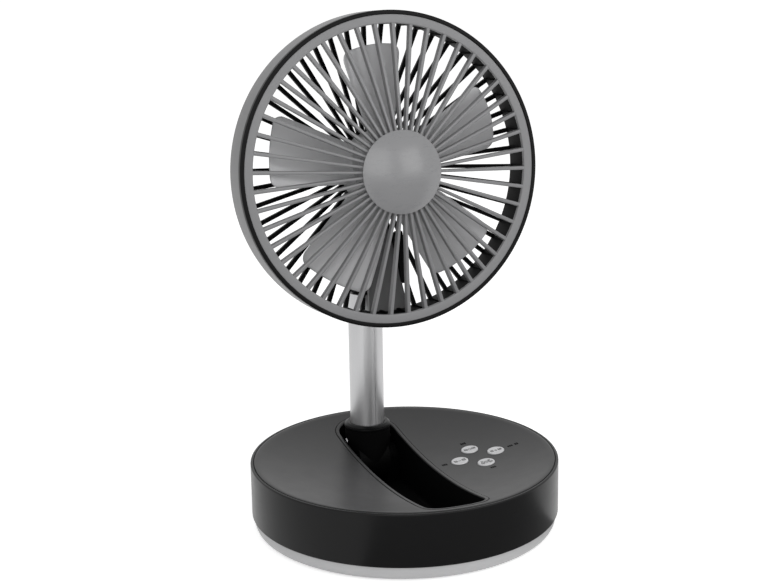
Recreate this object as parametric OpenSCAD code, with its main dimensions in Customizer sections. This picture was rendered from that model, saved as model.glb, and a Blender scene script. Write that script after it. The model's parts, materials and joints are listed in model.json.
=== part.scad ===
// Folding camping fan: a round battery base with a dished top, a telescopic
// pole that folds into a trough in the base, and a fan head that tips right
// over on its neck to lie face up on the dish.
// Units are millimetres and degrees. The frame's origin is on the floor under
// the middle of the base, +Z up, and the fan blows towards -Y.

/* [Base] */
// Outside radius of the base
base_r = 100; // [96:1:120]
// Height of the rim above the floor
rim_h = 45; // [44:0.5:52]
// Height of the seam between the wall and the bottom pan
seam_h = 10.5; // [9.5:0.5:13]
// Thickness of the moulded walls
wall = 2.4; // [2:0.1:2.8]
// Width of the rounded rim outside the dish
rim_w = 4; // [3:0.5:6]
// Height of the rounded rim above the wall
rim_drop = 2.8; // [1.6:0.2:4]
// Depth of the dish at its middle
dish_depth = 11.5; // [9:0.5:13]
// How far the pan is set in from the wall above it
pan_inset = 1.6; // [0.8:0.2:2]
// Radius of the round between the pan's side and its floor
pan_round = 6; // [4:0.5:7]

/* [Trough] */
// Clear width of the trough
slot_w = 38.6; // [37:0.2:44]
// Distance of the trough's front end from the base's edge
slot_inset = 9.5; // [9:0.5:14]
// Radius of the trough's front corners
slot_corner = 9; // [5:0.5:14]
// Width of the flange round the trough
flange_w = 2.5; // [1.5:0.25:3]
// Height that the flange stands above the dish
lip_h = 0.3; // [0.1:0.1:0.8]

/* [Pole] */
// Distance of the pole behind the middle of the base
foot_y = 67; // [64:0.5:68]
// Height of the fold axis above the floor
fold_h = 21; // [20.5:0.5:23]
// Outside radius of the widest tube
tube_r = 11.6; // [10.8:0.1:12]
// Wall of each tube
tube_wall = 0.9; // [0.6:0.1:1.1]
// Difference in radius from one tube to the next
tube_step = 1.6; // [1.4:0.1:1.9]
// Height of the top of the widest tube
tube_top = 140; // [120:1:150]
// Travel of each sliding tube
tube_travel = 80; // [40:1:84]
// Radius of the foot knuckle and of its stem
foot_r = 15.4; // [14.2:0.1:15.6]
// Radius of the bevelled collar
collar_r = 15.7; // [15:0.1:15.9]
// Height of the collar
collar_h = 3.6; // [3:0.2:5]
// Height of the collar's lower face above the floor
collar_z = 44.4; // [43:0.2:47]
// Radius of the hinge pins
pin_r = 2.5; // [2:0.1:2.8]

/* [Head] */
// Outside radius of the fan head
head_r = 100; // [96:1:106]
// Distance from the tilt axis up to the fan's axis
head_rise = 68.5; // [64:0.5:72]
// Distance from the tilt axis forward to the front ring
head_reach = 62.3; // [60:0.1:66]
// How far the head leans back at rest
rest_lean = 6.3; // [0:0.1:12]
// Width of the black bezel, seen from the front
bezel_w = 2.7; // [2:0.1:4]
// Width of the grey ring, seen from the front
ring_w = 5.7; // [4:0.1:8]
// Depth of the round drum behind the front ring
drum_depth = 25.5; // [24:0.5:27]
// Depth of the black inner wall
cage_depth = 20; // [19:0.5:21]
// Depth of the rear hub's back face
hub_depth = 42.5; // [40:0.5:43]

/* [Grilles] */
// Number of slats in front and of spokes behind
slats = 48; // [36:1:60]
// Width of a slat at the ring
slat_w = 2.5; // [1.6:0.1:3]
// Width of a slat at the cap
slat_w_in = 1.7; // [1:0.1:2]
// Depth of a slat from front to back
slat_d = 4.2; // [2:0.2:4.4]
// How far the slats rise from the ring to the cap
grille_rise = 16; // [12:0.5:20]
// Radius of the smooth cap
cap_r = 26.2; // [24.5:0.1:30]
// Height of the cap's dome
cap_dome = 8; // [4:0.5:14]
// Width of a rear spoke
spoke_w = 2; // [1.4:0.1:3]
// Depth of a rear spoke
spoke_d = 3.5; // [2:0.1:4]
// Radius of the rear hub
rear_hub_r = 24; // [23.5:0.1:26]
// Width of the neck panel at the rim
panel_w = 27; // [22:0.5:31]
// Width of the neck panel at the hub
panel_w_in = 12; // [8:0.5:20]

/* [Rotor] */
// Number of blades
blades = 5; // [3:1:7]
// Radius of the blade tips
blade_r = 77; // [60:0.5:80]
// Width of a blade at its tip
blade_w = 45; // [30:1:50]
// Width of a blade at the hub
blade_w_in = 27; // [18:1:28]
// Slope of a blade at its tip
blade_pitch = 19; // [10:1:20]
// Slope of a blade at the hub
blade_pitch_in = 34; // [20:1:38]
// Thickness of a blade
blade_t = 1.6; // [1.2:0.1:2.4]
// Radius of the rotor's hub
hub_r = 24.2; // [23.8:0.1:25]
// Radius of the motor shaft
shaft_r = 1.5; // [1.2:0.1:1.8]

/* [Buttons] */
// Distance of the button group's middle from the base's edge
pad_inset = 48; // [44:0.5:50]
// Forward distance of the button group from the middle
pad_y = -1; // [-6:0.5:4]
// Distance of each button from the middle of its group
button_pitch = 13.2; // [12.6:0.1:14]
// Radius of a button
button_r = 5.7; // [5:0.1:5.9]
// Height of a button above the dish
button_h = 0.6; // [0.3:0.1:1.2]
// Travel of a button
button_travel = 0.6; // [0.4:0.1:0.8]

/* [Hidden] */
$fn = 96;

// Clearances
gap = 0.3;          // between pieces that must not touch
run = 0.06;         // radial, for a pin or a shaft that turns in its bore
slip = 0.1;         // radial, for a piece that is pushed or glued into another
seam = 0.25;        // visible gap round a flange

// Base
foot_pad_h = 1;                          // rubber below the pan
pan_floor = foot_pad_h + 2.2;            // top of the pan's floor
shell_in_r = base_r - wall;              // inside of the shell's wall
pan_r = base_r - pan_inset;              // outside of the pan at the seam
wall_top = rim_h - rim_drop;             // where the wall meets the dished panel
dish_r = base_r - rim_w;                 // the dish's crest
panel_lip_h = 3;                         // how far the panel's lip hangs inside the wall
panel_lip_t = 1.8;
dish_n = 12;                             // rings of the dish

// Trough
slot_half = slot_w / 2;
slot_front = base_r - slot_inset;        // front end, from the middle of the base
trough_t = 1.8;
flange_t = 1.6;
corner_x = slot_half - slot_corner;
corner_y = -sqrt(pow(slot_front - slot_corner, 2) - pow(corner_x, 2));
barrel_half = sqrt(pow(slot_half - 2 * seam, 2) - pow(foot_r, 2));
barrel_w = 2 * barrel_half;              // foot knuckle, clear of the trough's round end
washer_t = 0.6;
washer_play = 0.15;
cheek_x = barrel_half + washer_t + 2 * washer_play;
cheek_r = pin_r + 5;
pin_end = slot_half + trough_t - 0.3;

// Pan fasteners and feet
screw_r = base_r - 16;
screw_angles = [35, 145, 215, 325];
screw_boss_r = 3.8;
screw_shank_r = 1.3;
screw_head_r = 2.8;
pad_r = 7;
pad_ring_r = base_r - 23;
pad_angles = [50, 130, 230, 310];
foot_screw_z = fold_h + 14;              // screws in the sides of the foot
foot_screw_r = 2.1;
foot_face_x = foot_r - 0.3;              // their spot faces

// Battery
cell_r = 9.2;
cell_l = 65;
cell_y = -1;
cell_gap = 0.6;
cradle_floor = 0.8;
cradle_t = 1.4;
cell_z = pan_floor + cradle_floor + cell_r;
cell_x0 = slot_half + trough_t + cradle_t + cell_r + 1.8;
cell_step = 2 * cell_r + cell_gap;

// Button pad
pad_x = base_r - pad_inset;
pad_z = dish_z(pad_x);
pad_tilt = atan(2 * dish_depth * pad_x / pow(dish_r, 2));
button_skirt_r = button_r + 0.9;
button_skirt_top = -wall - gap;
button_skirt_h = 0.9;
button_stem_r = 1.8;
button_stem_end = button_skirt_top - button_skirt_h - 0.8;
plunger_top = button_stem_end - button_travel - slip;
switch_top = plunger_top - 0.3;
switch_h = 2.2;
switch_w = 6;
board_top = switch_top - switch_h;
board_t = 1.4;
board_half = button_pitch + switch_w / 2 + 0.4;
board_post_r = 2.4;

// Pole
stem_top = collar_z;
socket_z = foot_screw_z + 2;             // floor of the socket for the widest tube
tube_bottom = socket_z + gap;            // lower end of the sliding tubes
groove_w = 1.8;
groove_d = 0.35;
groove_turn = 6;
bush_h = 9;
tube_lip = 2;

// Neck
pivot_z = fold_h + foot_y + head_rise;   // folded, the head lies over the middle
neck_r = 11;                             // barrel round the tilt pin
neck_w = 19.6;
neck_stem_r = 10.3;                      // passes between the ears
neck_stem_h = 5;
neck_stem_z = tube_top + gap;
ear_t = 5.5;
ear_gap = 0.9;
ear_r = 11.5;
ear_in = neck_w / 2 + ear_gap;
ear_out = ear_in + ear_t;
pin_head_r = 4.4;
pin_head_h = 1.6;

// Head: depths are measured backwards from the front face of the grey ring
bezel_proud = 0.6;
bezel_back = 3.2;
ring_back = 2.4;
ring_out_r = head_r - bezel_w;
ring_in_r = ring_out_r - ring_w;
shell_t = 2.2;
shell_round = 5.5;
cage_in_r = ring_in_r + 0.8;
cage_t = 2.2;
shell_lip_w = 5;
slat_end_r = ring_in_r + 0.5;
disc_t = 3;
cap_seat_z = grille_rise - 0.4;          // where the cap rests on the disc
slat_drop = 0.7;                         // from the cap's seat down to the slats' ends
hub_front = -6;
hub_back = 31;
hub_wall = 3.6;
seat_front = 32.2;
seat_t = 2.4;
boss_r = 5.2;
boss_front = 12;
bearing_r = 4;
bearing_w = 4;
stator_front = 14;
stator_back = 30;
stator_r = 17.4;
magnet_t = 2.1;
cover_h = 2.4;
motor_screw_r = 10;
blade_mid = 11;

// ---------------------------------------------------------------- helpers

// Height of the dish's surface at a distance from the middle
function dish_z(r) = rim_h - dish_depth * (1 - pow(r / dish_r, 2));

function dish_line(r_to, off) =
    [for (i = [0 : dish_n]) [r_to * i / dish_n, dish_z(r_to * i / dish_n) + off]];

function reversed(list) = [for (i = [len(list) - 1 : -1 : 0]) list[i]];

function arc(cx, cy, r, a0, a1, n) =
    [for (i = [0 : n]) [cx + r * cos(a0 + (a1 - a0) * i / n),
                        cy + r * sin(a0 + (a1 - a0) * i / n)]];

module ring(r_out, r_in, h) {
    difference() {
        cylinder(r = r_out, h = h);
        translate([0, 0, -1]) cylinder(r = r_in, h = h + 2);
    }
}

// Everything under the dish's surface, moved up by off
module under_dish(off, from = 0) {
    rotate_extrude()
        polygon(concat([[0, from], [dish_r, from]], reversed(dish_line(dish_r, off))));
}

module dish_layer(low, high) {
    rotate_extrude()
        polygon(concat(dish_line(dish_r, low), reversed(dish_line(dish_r, high))));
}

// Plan of the trough, grown by off: round behind, and an arc along the rim in front
module slot_plan(off) {
    far = 2 * slot_front;
    translate([0, foot_y]) circle(r = slot_half + off);
    translate([-slot_half - off, corner_y])
        square([2 * (slot_half + off), foot_y - corner_y]);
    for (s = [-1, 1]) translate([s * corner_x, corner_y]) circle(r = slot_corner + off);
    intersection() {
        circle(r = slot_front + off);
        polygon([[0, 0], [-corner_x, corner_y] * far / slot_front,
                 [corner_x, corner_y] * far / slot_front]);
    }
}

module slot_block(off, z0, z1) {
    translate([0, 0, z0]) linear_extrude(z1 - z0) slot_plan(off);
}

module at_screws() {
    for (a = screw_angles) rotate([0, 0, a]) translate([screw_r, 0, 0]) children();
}

// The button group's own frame: +Z is square to the dish
module at_pad() {
    translate([pad_x, pad_y, pad_z]) rotate([0, -pad_tilt, 0]) children();
}

module at_button(i) {
    rotate([0, 0, 90 * i]) translate([button_pitch, 0, 0]) children();
}

module at_usb() {
    rotate([0, 0, 45]) translate([base_r, 0, 24]) children();
}

// The head's own frame: +X right, +Y up, +Z out of the front, origin in the
// middle of the grey ring's face
module at_head() {
    translate([0, foot_y, pivot_z]) rotate([90 - rest_lean, 0, 0])
        translate([0, head_rise, head_reach]) children();
}

module at_pivot() {
    translate([0, foot_y, pivot_z]) children();
}

module x_cylinder(r, w) {
    rotate([0, 90, 0]) cylinder(r = r, h = w, center = true);
}

// A bar with a tapered width and slanted faces, drawn in the X-Z plane along +X
module bar(x0, x1, w0, w1, top0, top1, d0, d1) {
    polyhedron(
        points = [[x0, -w0 / 2, top0 - d0], [x0, w0 / 2, top0 - d0],
                  [x0, w0 / 2, top0], [x0, -w0 / 2, top0],
                  [x1, -w1 / 2, top1 - d1], [x1, w1 / 2, top1 - d1],
                  [x1, w1 / 2, top1], [x1, -w1 / 2, top1]],
        faces = [[0, 1, 2, 3], [7, 6, 5, 4], [0, 4, 5, 1],
                 [1, 5, 6, 2], [2, 6, 7, 3], [3, 7, 4, 0]]);
}

// ---------------------------------------------------------------- base

module base_shell() color("black") {
    difference() {
        rotate_extrude()
            polygon([[shell_in_r, seam_h], [base_r - 0.4, seam_h], [base_r, seam_h + 0.4],
                     [base_r, wall_top], [shell_in_r, wall_top]]);
        at_usb() translate([-wall - 2, 0, 0]) usb_plan(usb_w + 2 * gap, usb_t + 2 * gap, 6);
    }
}

// The dished top with its rounded rim, held down by the screws in its bosses
module dish_panel() color("dimgray") {
    lip_r = shell_in_r - slip;
    under_r = lip_r - panel_lip_t;
    difference() {
        union() {
            rotate_extrude() polygon(concat(
                dish_line(dish_r, 0),
                [for (i = [1 : 6]) [dish_r + rim_w * sin(15 * i), wall_top + rim_drop * cos(15 * i)]],
                [[lip_r, wall_top], [lip_r, wall_top - panel_lip_h], [under_r, wall_top - panel_lip_h]],
                reversed(dish_line(under_r, -wall))));
            intersection() {
                at_screws() translate([0, 0, seam_h]) cylinder(r = screw_boss_r, h = rim_h, $fn = 32);
                under_dish(-wall / 2);
            }
            intersection() {
                at_pad() for (sx = [-1, 1], sy = [-1, 1])
                    translate([sx, sy, 0] * (board_half - board_post_r) + [0, 0, board_top])
                        cylinder(r = board_post_r, h = -board_top, $fn = 24);
                under_dish(-wall / 2);
            }
        }
        slot_block(flange_w + seam, seam_h - 1, rim_h + 1);
        at_screws() translate([0, 0, seam_h - 1])
            cylinder(r = screw_shank_r + run, h = 12, $fn = 24);
        at_pad() for (i = [0 : 3]) at_button(i)
            translate([0, 0, -wall - 2]) cylinder(r = button_r + seam, h = 6, $fn = 48);
    }
}

module bottom_pan() color("gainsboro") {
    lip_r = shell_in_r - slip;
    lip_h = 3;
    pan_t = 2.2;
    side_top_r = pan_r;
    floor_r = pan_r - 0.2 - pan_round;
    difference() {
        union() {
            rotate_extrude() polygon(concat(
                [[0, foot_pad_h], [floor_r, foot_pad_h]],
                arc(floor_r, foot_pad_h + pan_round, pan_round, -75, 0, 5),
                [[side_top_r, seam_h], [lip_r, seam_h], [lip_r, seam_h + lip_h],
                 [lip_r - pan_t, seam_h + lip_h], [lip_r - pan_t, seam_h]],
                arc(floor_r - 0.6, foot_pad_h + pan_round, pan_round - pan_t + 0.6, 0, -75, 5),
                [[floor_r - 0.6, pan_floor], [0, pan_floor]]));
            at_screws() translate([0, 0, foot_pad_h])
                cylinder(r = screw_boss_r, h = seam_h - foot_pad_h - gap, $fn = 32);
            rotate([0, 0, 45]) for (s = [-1, 1])
                translate([base_r - 8, s * 5, foot_pad_h + 1])
                    cylinder(r = 1.8, h = usb_board_z - foot_pad_h - 1, $fn = 24);
        }
        at_screws() {
            cylinder(r = screw_head_r + gap, h = foot_pad_h + 2.6, $fn = 32);
            cylinder(r = screw_shank_r + gap, h = seam_h + 1, $fn = 24);
        }
        for (a = pad_angles) rotate([0, 0, a]) translate([pad_ring_r, 0, 0])
            cylinder(r = pad_r + slip, h = foot_pad_h + 0.8);
    }
}

// Blocks left standing on the trough's floor to carry the foot pin
module trough_cheeks() {
    for (s = [-1, 1]) translate([s * (cheek_x + 10), foot_y, 0]) {
        translate([0, 0, fold_h]) x_cylinder(cheek_r, 20);
        translate([-10, -cheek_r, 0]) cube([20, 2 * cheek_r, fold_h]);
    }
}

module slot_trough() color("black") {
    difference() {
        union() {
            intersection() {
                slot_block(trough_t, pan_floor, rim_h + 1);
                under_dish(lip_h);
            }
            intersection() {
                slot_block(flange_w, pan_floor, rim_h + 1);
                dish_layer(-flange_t, lip_h);
            }
        }
        difference() {
            slot_block(0, pan_floor + trough_t, rim_h + 2);
            trough_cheeks();
        }
        translate([0, foot_y, fold_h]) x_cylinder(pin_r + slip, slot_w + 2 * trough_t + 2);
    }
}

module rubber_feet() color("black") {
    for (a = pad_angles) rotate([0, 0, a]) translate([pad_ring_r, 0, 0])
        rotate_extrude() polygon([[0, 0], [pad_r - 0.6, 0], [pad_r, 0.6],
                                  [pad_r, foot_pad_h + 0.8], [0, foot_pad_h + 0.8]]);
}

module pan_screws() color("silver") {
    at_screws() {
        difference() {
            translate([0, 0, foot_pad_h + 0.8]) cylinder(r = screw_head_r, h = 1.8, $fn = 32);
            for (a = [0, 90]) rotate([0, 0, a])
                translate([-1.6, -0.35, 0]) cube([3.2, 0.7, foot_pad_h + 1.7]);
        }
        translate([0, 0, foot_pad_h + 2]) cylinder(r = screw_shank_r, h = 16, $fn = 24);
    }
}

// Places along X on both sides of the foot, pointing outwards
module at_foot_screws() {
    for (s = [-1, 1]) translate([0, foot_y, foot_screw_z]) rotate([0, s * 90, 0]) children();
}

module foot_screws() color("silver") {
    at_foot_screws() {
        translate([0, 0, foot_face_x]) rotate_extrude($fn = 32)
            polygon([[0, 0], [foot_screw_r, 0], [foot_screw_r, 0.6], [foot_screw_r - 0.6, 1.3], [0, 1.6]]);
        translate([0, 0, foot_face_x - 6]) cylinder(r = 0.8, h = 6.1, $fn = 24);
    }
}

// Middles of the two cells, beside each other on the left
module at_cells() {
    for (i = [0 : 1]) translate([-cell_x0 - i * cell_step, cell_y, cell_z])
        rotate([90, 0, 0]) children();
}

module battery_cells() color("steelblue") {
    at_cells() {
        cylinder(r = cell_r, h = cell_l, center = true, $fn = 48);
        translate([0, 0, cell_l / 2]) cylinder(r = 3, h = 1, $fn = 24);
    }
}

module battery_cradle() color("black") {
    side = cell_r + cradle_t;
    end = cell_l / 2 + cradle_t + 1.2;
    difference() {
        translate([-cell_x0 - cell_step - side, cell_y - end, pan_floor])
            cube([cell_step + 2 * side, 2 * end, cell_r * 0.8]);
        at_cells() cylinder(r = cell_r + slip, h = cell_l + 2.4, center = true, $fn = 48);
    }
}

module control_board() color("darkgreen") {
    at_pad() {
        translate([-board_half, -board_half, board_top - board_t])
            cube([2 * board_half, 2 * board_half, board_t]);
        translate([-4, -4, board_top - 0.2]) cube([8, 8, 1.4]);
        translate([board_half - 5.6, -14, board_top - board_t - 1.4]) cube([4.5, 8, 1.6]);
    }
}

module tact_switches() color("silver") {
    at_pad() for (i = [0 : 3]) at_button(i) {
        translate([-switch_w / 2, -switch_w / 2, board_top]) cube([switch_w, switch_w, switch_h]);
        translate([0, 0, switch_top - 0.1]) cylinder(r = 1.6, h = plunger_top - switch_top + 0.1, $fn = 24);
    }
}

usb_w = 8.9;
usb_t = 3.2;
usb_depth = 7.4;
usb_board_z = 24 - usb_t / 2 - 1.2;

// A flat-sided oval extruded along +X
module usb_plan(w, t, l) {
    rotate([90, 0, 90]) linear_extrude(l) {
        for (s = [-1, 1]) translate([s * (w - t) / 2, 0]) circle(r = t / 2, $fn = 32);
        square([w - t, t], center = true);
    }
}

module usb_port() color("silver") {
    at_usb() translate([-usb_depth - 0.4, 0, 0]) {
        difference() {
            usb_plan(usb_w, usb_t, usb_depth);
            translate([1, 0, 0]) usb_plan(usb_w - 0.7, usb_t - 0.7, usb_depth);
        }
        translate([0.5, -3.3, -0.35]) cube([5.5, 6.6, 0.7]);
        translate([-4.6, -7, -usb_t / 2 - 1.2]) cube([9, 14, 1.2]);
    }
}

module foot_pin() color("silver") {
    translate([0, foot_y, fold_h]) x_cylinder(pin_r, 2 * pin_end);
}

module foot_washers() color("silver") {
    for (s = [-1, 1]) translate([s * (barrel_half + cheek_x) / 2, foot_y, fold_h])
        difference() {
            x_cylinder(cheek_r - 1, washer_t);
            x_cylinder(pin_r + slip, 4 * washer_t);
        }
}

// One cap of the button group: dished top, retaining skirt and a stem
module button(i) {
    at_pad() at_button(i) rotate_extrude($fn = 48)
        polygon([[0, button_stem_end], [button_stem_r, button_stem_end],
                 [button_stem_r, button_skirt_top - button_skirt_h],
                 [button_skirt_r, button_skirt_top - button_skirt_h],
                 [button_skirt_r, button_skirt_top], [button_r, button_skirt_top],
                 [button_r, button_h - 0.5], [button_r - 0.5, button_h],
                 [button_r - 1.2, button_h], [0, button_h - 0.25]]);
}

module faster_button() color("lightgray") button(0);
module power_button() color("lightgray") button(1);
module slower_button() color("lightgray") button(2);
module timer_button() color("lightgray") button(3);

// ---------------------------------------------------------------- pole

module foot_knuckle() color("black") {
    difference() {
        union() {
            translate([0, foot_y, fold_h]) x_cylinder(foot_r, barrel_w);
            translate([0, foot_y, fold_h]) cylinder(r = foot_r, h = stem_top - fold_h);
        }
        for (s = [-1, 1]) translate([s * (barrel_half + foot_r), foot_y, fold_h])
            cube([2 * foot_r, 4 * foot_r, 2 * (cheek_r + 1)], center = true);
        translate([0, foot_y, fold_h]) x_cylinder(pin_r + run, slot_w);
        translate([0, foot_y, socket_z]) cylinder(r = tube_r + slip, h = collar_z);
        at_foot_screws() {
            translate([0, 0, foot_face_x]) cylinder(r = foot_screw_r + slip, h = 3, $fn = 32);
            translate([0, 0, foot_face_x - 6.3]) cylinder(r = 0.8 + run, h = 7, $fn = 24);
        }
    }
}

module pole_collar() color("black") {
    in_r = tube_r + slip;
    side = collar_h / 2;
    translate([0, foot_y, collar_z]) rotate_extrude()
        polygon([[in_r, 0], [collar_r - 0.5, 0], [collar_r, 0.5], [collar_r, side],
                 [collar_r - 0.5, side + 0.1], [collar_r - 0.5, side + 0.4], [collar_r - 0.2, side + 0.6],
                 [collar_r - 2, collar_h], [in_r + 0.3, collar_h], [in_r, collar_h - 0.3]]);
}

// A drawn tube with a rolled-in mouth that steadies the next tube
module pole_tube(r, z0, z1, mouth_r) {
    difference() {
        translate([0, foot_y, z0]) rotate_extrude()
            polygon([[r - tube_wall, 0], [r, 0], [r, z1 - z0 - 0.5], [r - 0.5, z1 - z0],
                     [mouth_r, z1 - z0], [mouth_r, z1 - z0 - tube_lip],
                     [r - tube_wall, z1 - z0 - tube_lip - 0.4]]);
        translate([0, foot_y, 0]) rotate([0, 0, -90 + groove_turn])
            translate([r - groove_d, -groove_w / 2, z0 - 1]) cube([2, groove_w, z1 - z0 + 2]);
    }
}

// Split sleeve at the foot of a sliding tube
module pole_bush(r, bore_r) {
    translate([0, foot_y, tube_bottom]) difference() {
        ring(bore_r - run, r + run, bush_h);
        rotate([0, 0, 90]) translate([0, -1, -1]) cube([bore_r + 1, 2, bush_h + 2]);
    }
}

function nth_tube_r(i) = tube_r - i * tube_step;
function mouth_r(i) = nth_tube_r(i + 1) + run;

module outer_tube() color("silver") pole_tube(nth_tube_r(0), socket_z, tube_top, mouth_r(0));
module second_tube() color("silver") pole_tube(nth_tube_r(1), tube_bottom, tube_top, mouth_r(1));
module third_tube() color("silver") pole_tube(nth_tube_r(2), tube_bottom, tube_top, mouth_r(2));
module second_bush() color("white") pole_bush(nth_tube_r(1), nth_tube_r(0) - tube_wall);
module third_bush() color("white") pole_bush(nth_tube_r(2), nth_tube_r(1) - tube_wall);
module inner_bush() color("white") pole_bush(nth_tube_r(3), nth_tube_r(2) - tube_wall);

inner_tube_top = pivot_z - neck_r + 1.5;

module inner_tube() color("silver") {
    r = nth_tube_r(3);
    pole_tube(r, tube_bottom, inner_tube_top, r - tube_wall);
}

module neck_knuckle() color("black") {
    difference() {
        union() {
            at_pivot() x_cylinder(neck_r, neck_w);
            translate([0, foot_y, neck_stem_z]) rotate_extrude()
                polygon([[0, 0], [neck_stem_r - 0.6, 0], [neck_stem_r, 0.6],
                         [neck_stem_r, neck_stem_h - 1], [neck_stem_r - 1, neck_stem_h], [0, neck_stem_h]]);
            intersection() {
                translate([0, foot_y, neck_stem_z]) cylinder(r = neck_r, h = pivot_z - neck_stem_z);
                translate([-neck_w / 2, foot_y - neck_r, neck_stem_z]) cube([neck_w, 2 * neck_r, pivot_z]);
            }
        }
        at_pivot() x_cylinder(pin_r + run, neck_w + 2);
        translate([0, foot_y, neck_stem_z - 1])
            cylinder(r = nth_tube_r(3) + slip, h = inner_tube_top - neck_stem_z + 1);
    }
}

module neck_pin() color("silver") {
    at_pivot() {
        x_cylinder(pin_r, 2 * ear_out + 0.4);
        for (s = [-1, 1]) rotate([0, s * 90, 0]) translate([0, 0, ear_out + 0.1])
            rotate_extrude($fn = 48) polygon([[0, 0], [pin_head_r, 0], [pin_head_r, pin_head_h - 0.6],
                                              [pin_head_r - 0.8, pin_head_h], [0, pin_head_h]]);
    }
}

module neck_washers() color("silver") {
    for (s = [-1, 1]) at_pivot() translate([s * (neck_w / 2 + ear_gap / 2), 0, 0]) difference() {
        x_cylinder(7, ear_gap - 0.4);
        x_cylinder(pin_r + slip, 4);
    }
}

// ---------------------------------------------------------------- head

// Revolves an outline given as [radius, depth behind the ring's face]
module spin_depth(points) {
    rotate_extrude() polygon([for (p = points) [p[0], -p[1]]]);
}

module ear_plan() {
    // drawn in the head's Y-Z plane, as [y, z]
    root = -cage_depth - 6;
    hull() {
        translate([-head_rise, -head_reach]) circle(r = ear_r, $fn = 64);
        translate([-head_rise - 6, root]) circle(r = 2, $fn = 24);
        translate([-head_rise + 24, root - 5]) circle(r = 2, $fn = 24);
    }
}

module rear_cage() color("black") {
    seat_r = rear_hub_r;
    plate = hub_depth - seat_t;
    at_head() {
        difference() {
            union() {
                spin_depth([[cage_in_r, ring_back], [cage_in_r + cage_t, ring_back],
                            [cage_in_r + cage_t, cage_depth], [head_r - shell_t - slip, cage_depth],
                            [head_r - shell_t - slip, drum_depth - shell_t],
                            [cage_in_r, drum_depth - shell_t]]);
                for (i = [0 : slats - 1]) rotate([0, 0, 360 * i / slats])
                    bar(rear_hub_r - 1, cage_in_r + 0.6, spoke_w * 0.8, spoke_w,
                        -plate + spoke_d - 0.4, -cage_depth, spoke_d, spoke_d - 0.4);
                rotate([0, 0, -90]) bar(rear_hub_r - 1, cage_in_r + 0.6, panel_w_in, panel_w,
                        -plate + spoke_d, -cage_depth + 0.4, spoke_d + 0.4, spoke_d);
                spin_depth([[0, hub_depth], [seat_r - 1, hub_depth], [seat_r, hub_depth - 1],
                            [seat_r, seat_front], [seat_r - seat_t, seat_front],
                            [seat_r - seat_t, plate], [boss_r, plate],
                            [boss_r, boss_front], [0, boss_front]]);
                intersection() {
                    rotate([90, 0, 90]) linear_extrude(2 * ear_out, center = true) ear_plan();
                    cylinder(r = cage_in_r, h = 200, center = true);
                }
            }
            translate([-ear_in, -head_rise - 60, -head_reach - 30])
                cube([2 * ear_in, 120, 30 + head_reach - cage_depth - spoke_d - 11]);
            rotate([0, 0, -90])
                bar(rear_hub_r + 4, cage_in_r + 2, ear_out * 3, ear_out * 3,
                    0, 0, plate - spoke_d - 2, cage_depth - 0.4);
            translate([0, -head_rise, -head_reach]) x_cylinder(pin_r + run, 3 * ear_out);
            for (d = [boss_front, plate - bearing_w]) translate([0, 0, -d - bearing_w])
                cylinder(r = bearing_r + slip, h = bearing_w + 0.1, $fn = 48);
            translate([0, 0, -hub_depth - 1]) cylinder(r = bearing_r - 1, h = hub_depth, $fn = 32);
            for (a = [0, 120, 240]) rotate([0, 0, a + 30]) translate([motor_screw_r, 0, -hub_depth - 1])
                cylinder(r = screw_shank_r + slip, h = 6, $fn = 24);
        }
    }
}

module head_shell() color("gray") {
    r = head_r;
    n = 8;
    at_head() spin_depth(concat(
        [[r - shell_t, bezel_back], [r, bezel_back]],
        arc(r - shell_round, drum_depth - shell_round, shell_round, 0, 90, n),
        [[r - shell_round - 0.2, drum_depth], [r - shell_round - 0.2, drum_depth - shell_t],
         [r - shell_t, drum_depth - shell_t]]));
}

module bezel_ring() color("black") {
    at_head() spin_depth([[ring_out_r + 0.05, -bezel_proud], [head_r - 0.6, -bezel_proud],
                          [head_r, 0], [head_r, bezel_back], [ring_out_r - 2, bezel_back],
                          [ring_out_r - 2, ring_back], [ring_out_r + 0.05, ring_back]]);
}

module front_grille() color("darkgray") {
    at_head() {
        spin_depth([[ring_in_r, 0.5], [ring_in_r + 0.5, 0], [ring_out_r - 0.3, 0],
                    [ring_out_r, 0.3], [ring_out_r, ring_back], [ring_in_r, ring_back]]);
        for (i = [0 : slats - 1]) rotate([0, 0, 360 * i / slats])
            bar(cap_r - 1, slat_end_r, slat_w_in, slat_w, cap_seat_z - slat_drop, -0.2, slat_d, slat_d);
        translate([0, 0, cap_seat_z - disc_t]) cylinder(r = cap_r - 0.4, h = disc_t);
    }
}

module grille_cap() color("darkgray") {
    dome_r = (pow(cap_r, 2) + pow(cap_dome, 2)) / (2 * cap_dome);
    half = asin(cap_r / dome_r);
    base_z = cap_seat_z;
    at_head() rotate_extrude() polygon(concat(
        [[0, base_z], [cap_r - 0.4, base_z], [cap_r, base_z + 0.4], [cap_r, base_z + 1]],
        [for (i = [0 : 9]) let (a = half * (1 - i / 9))
            [dome_r * sin(a), base_z + 1 + dome_r * (cos(a) - cos(half))]]));
}

module motor_cover() color("dimgray") {
    at_head() spin_depth([[0, hub_depth], [rear_hub_r - 1.6, hub_depth],
                          [rear_hub_r - 1.6, hub_depth + cover_h * 0.5],
                          [rear_hub_r - 3.2, hub_depth + cover_h * 0.85],
                          [rear_hub_r - 7, hub_depth + cover_h], [0, hub_depth + cover_h]]);
}

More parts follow.
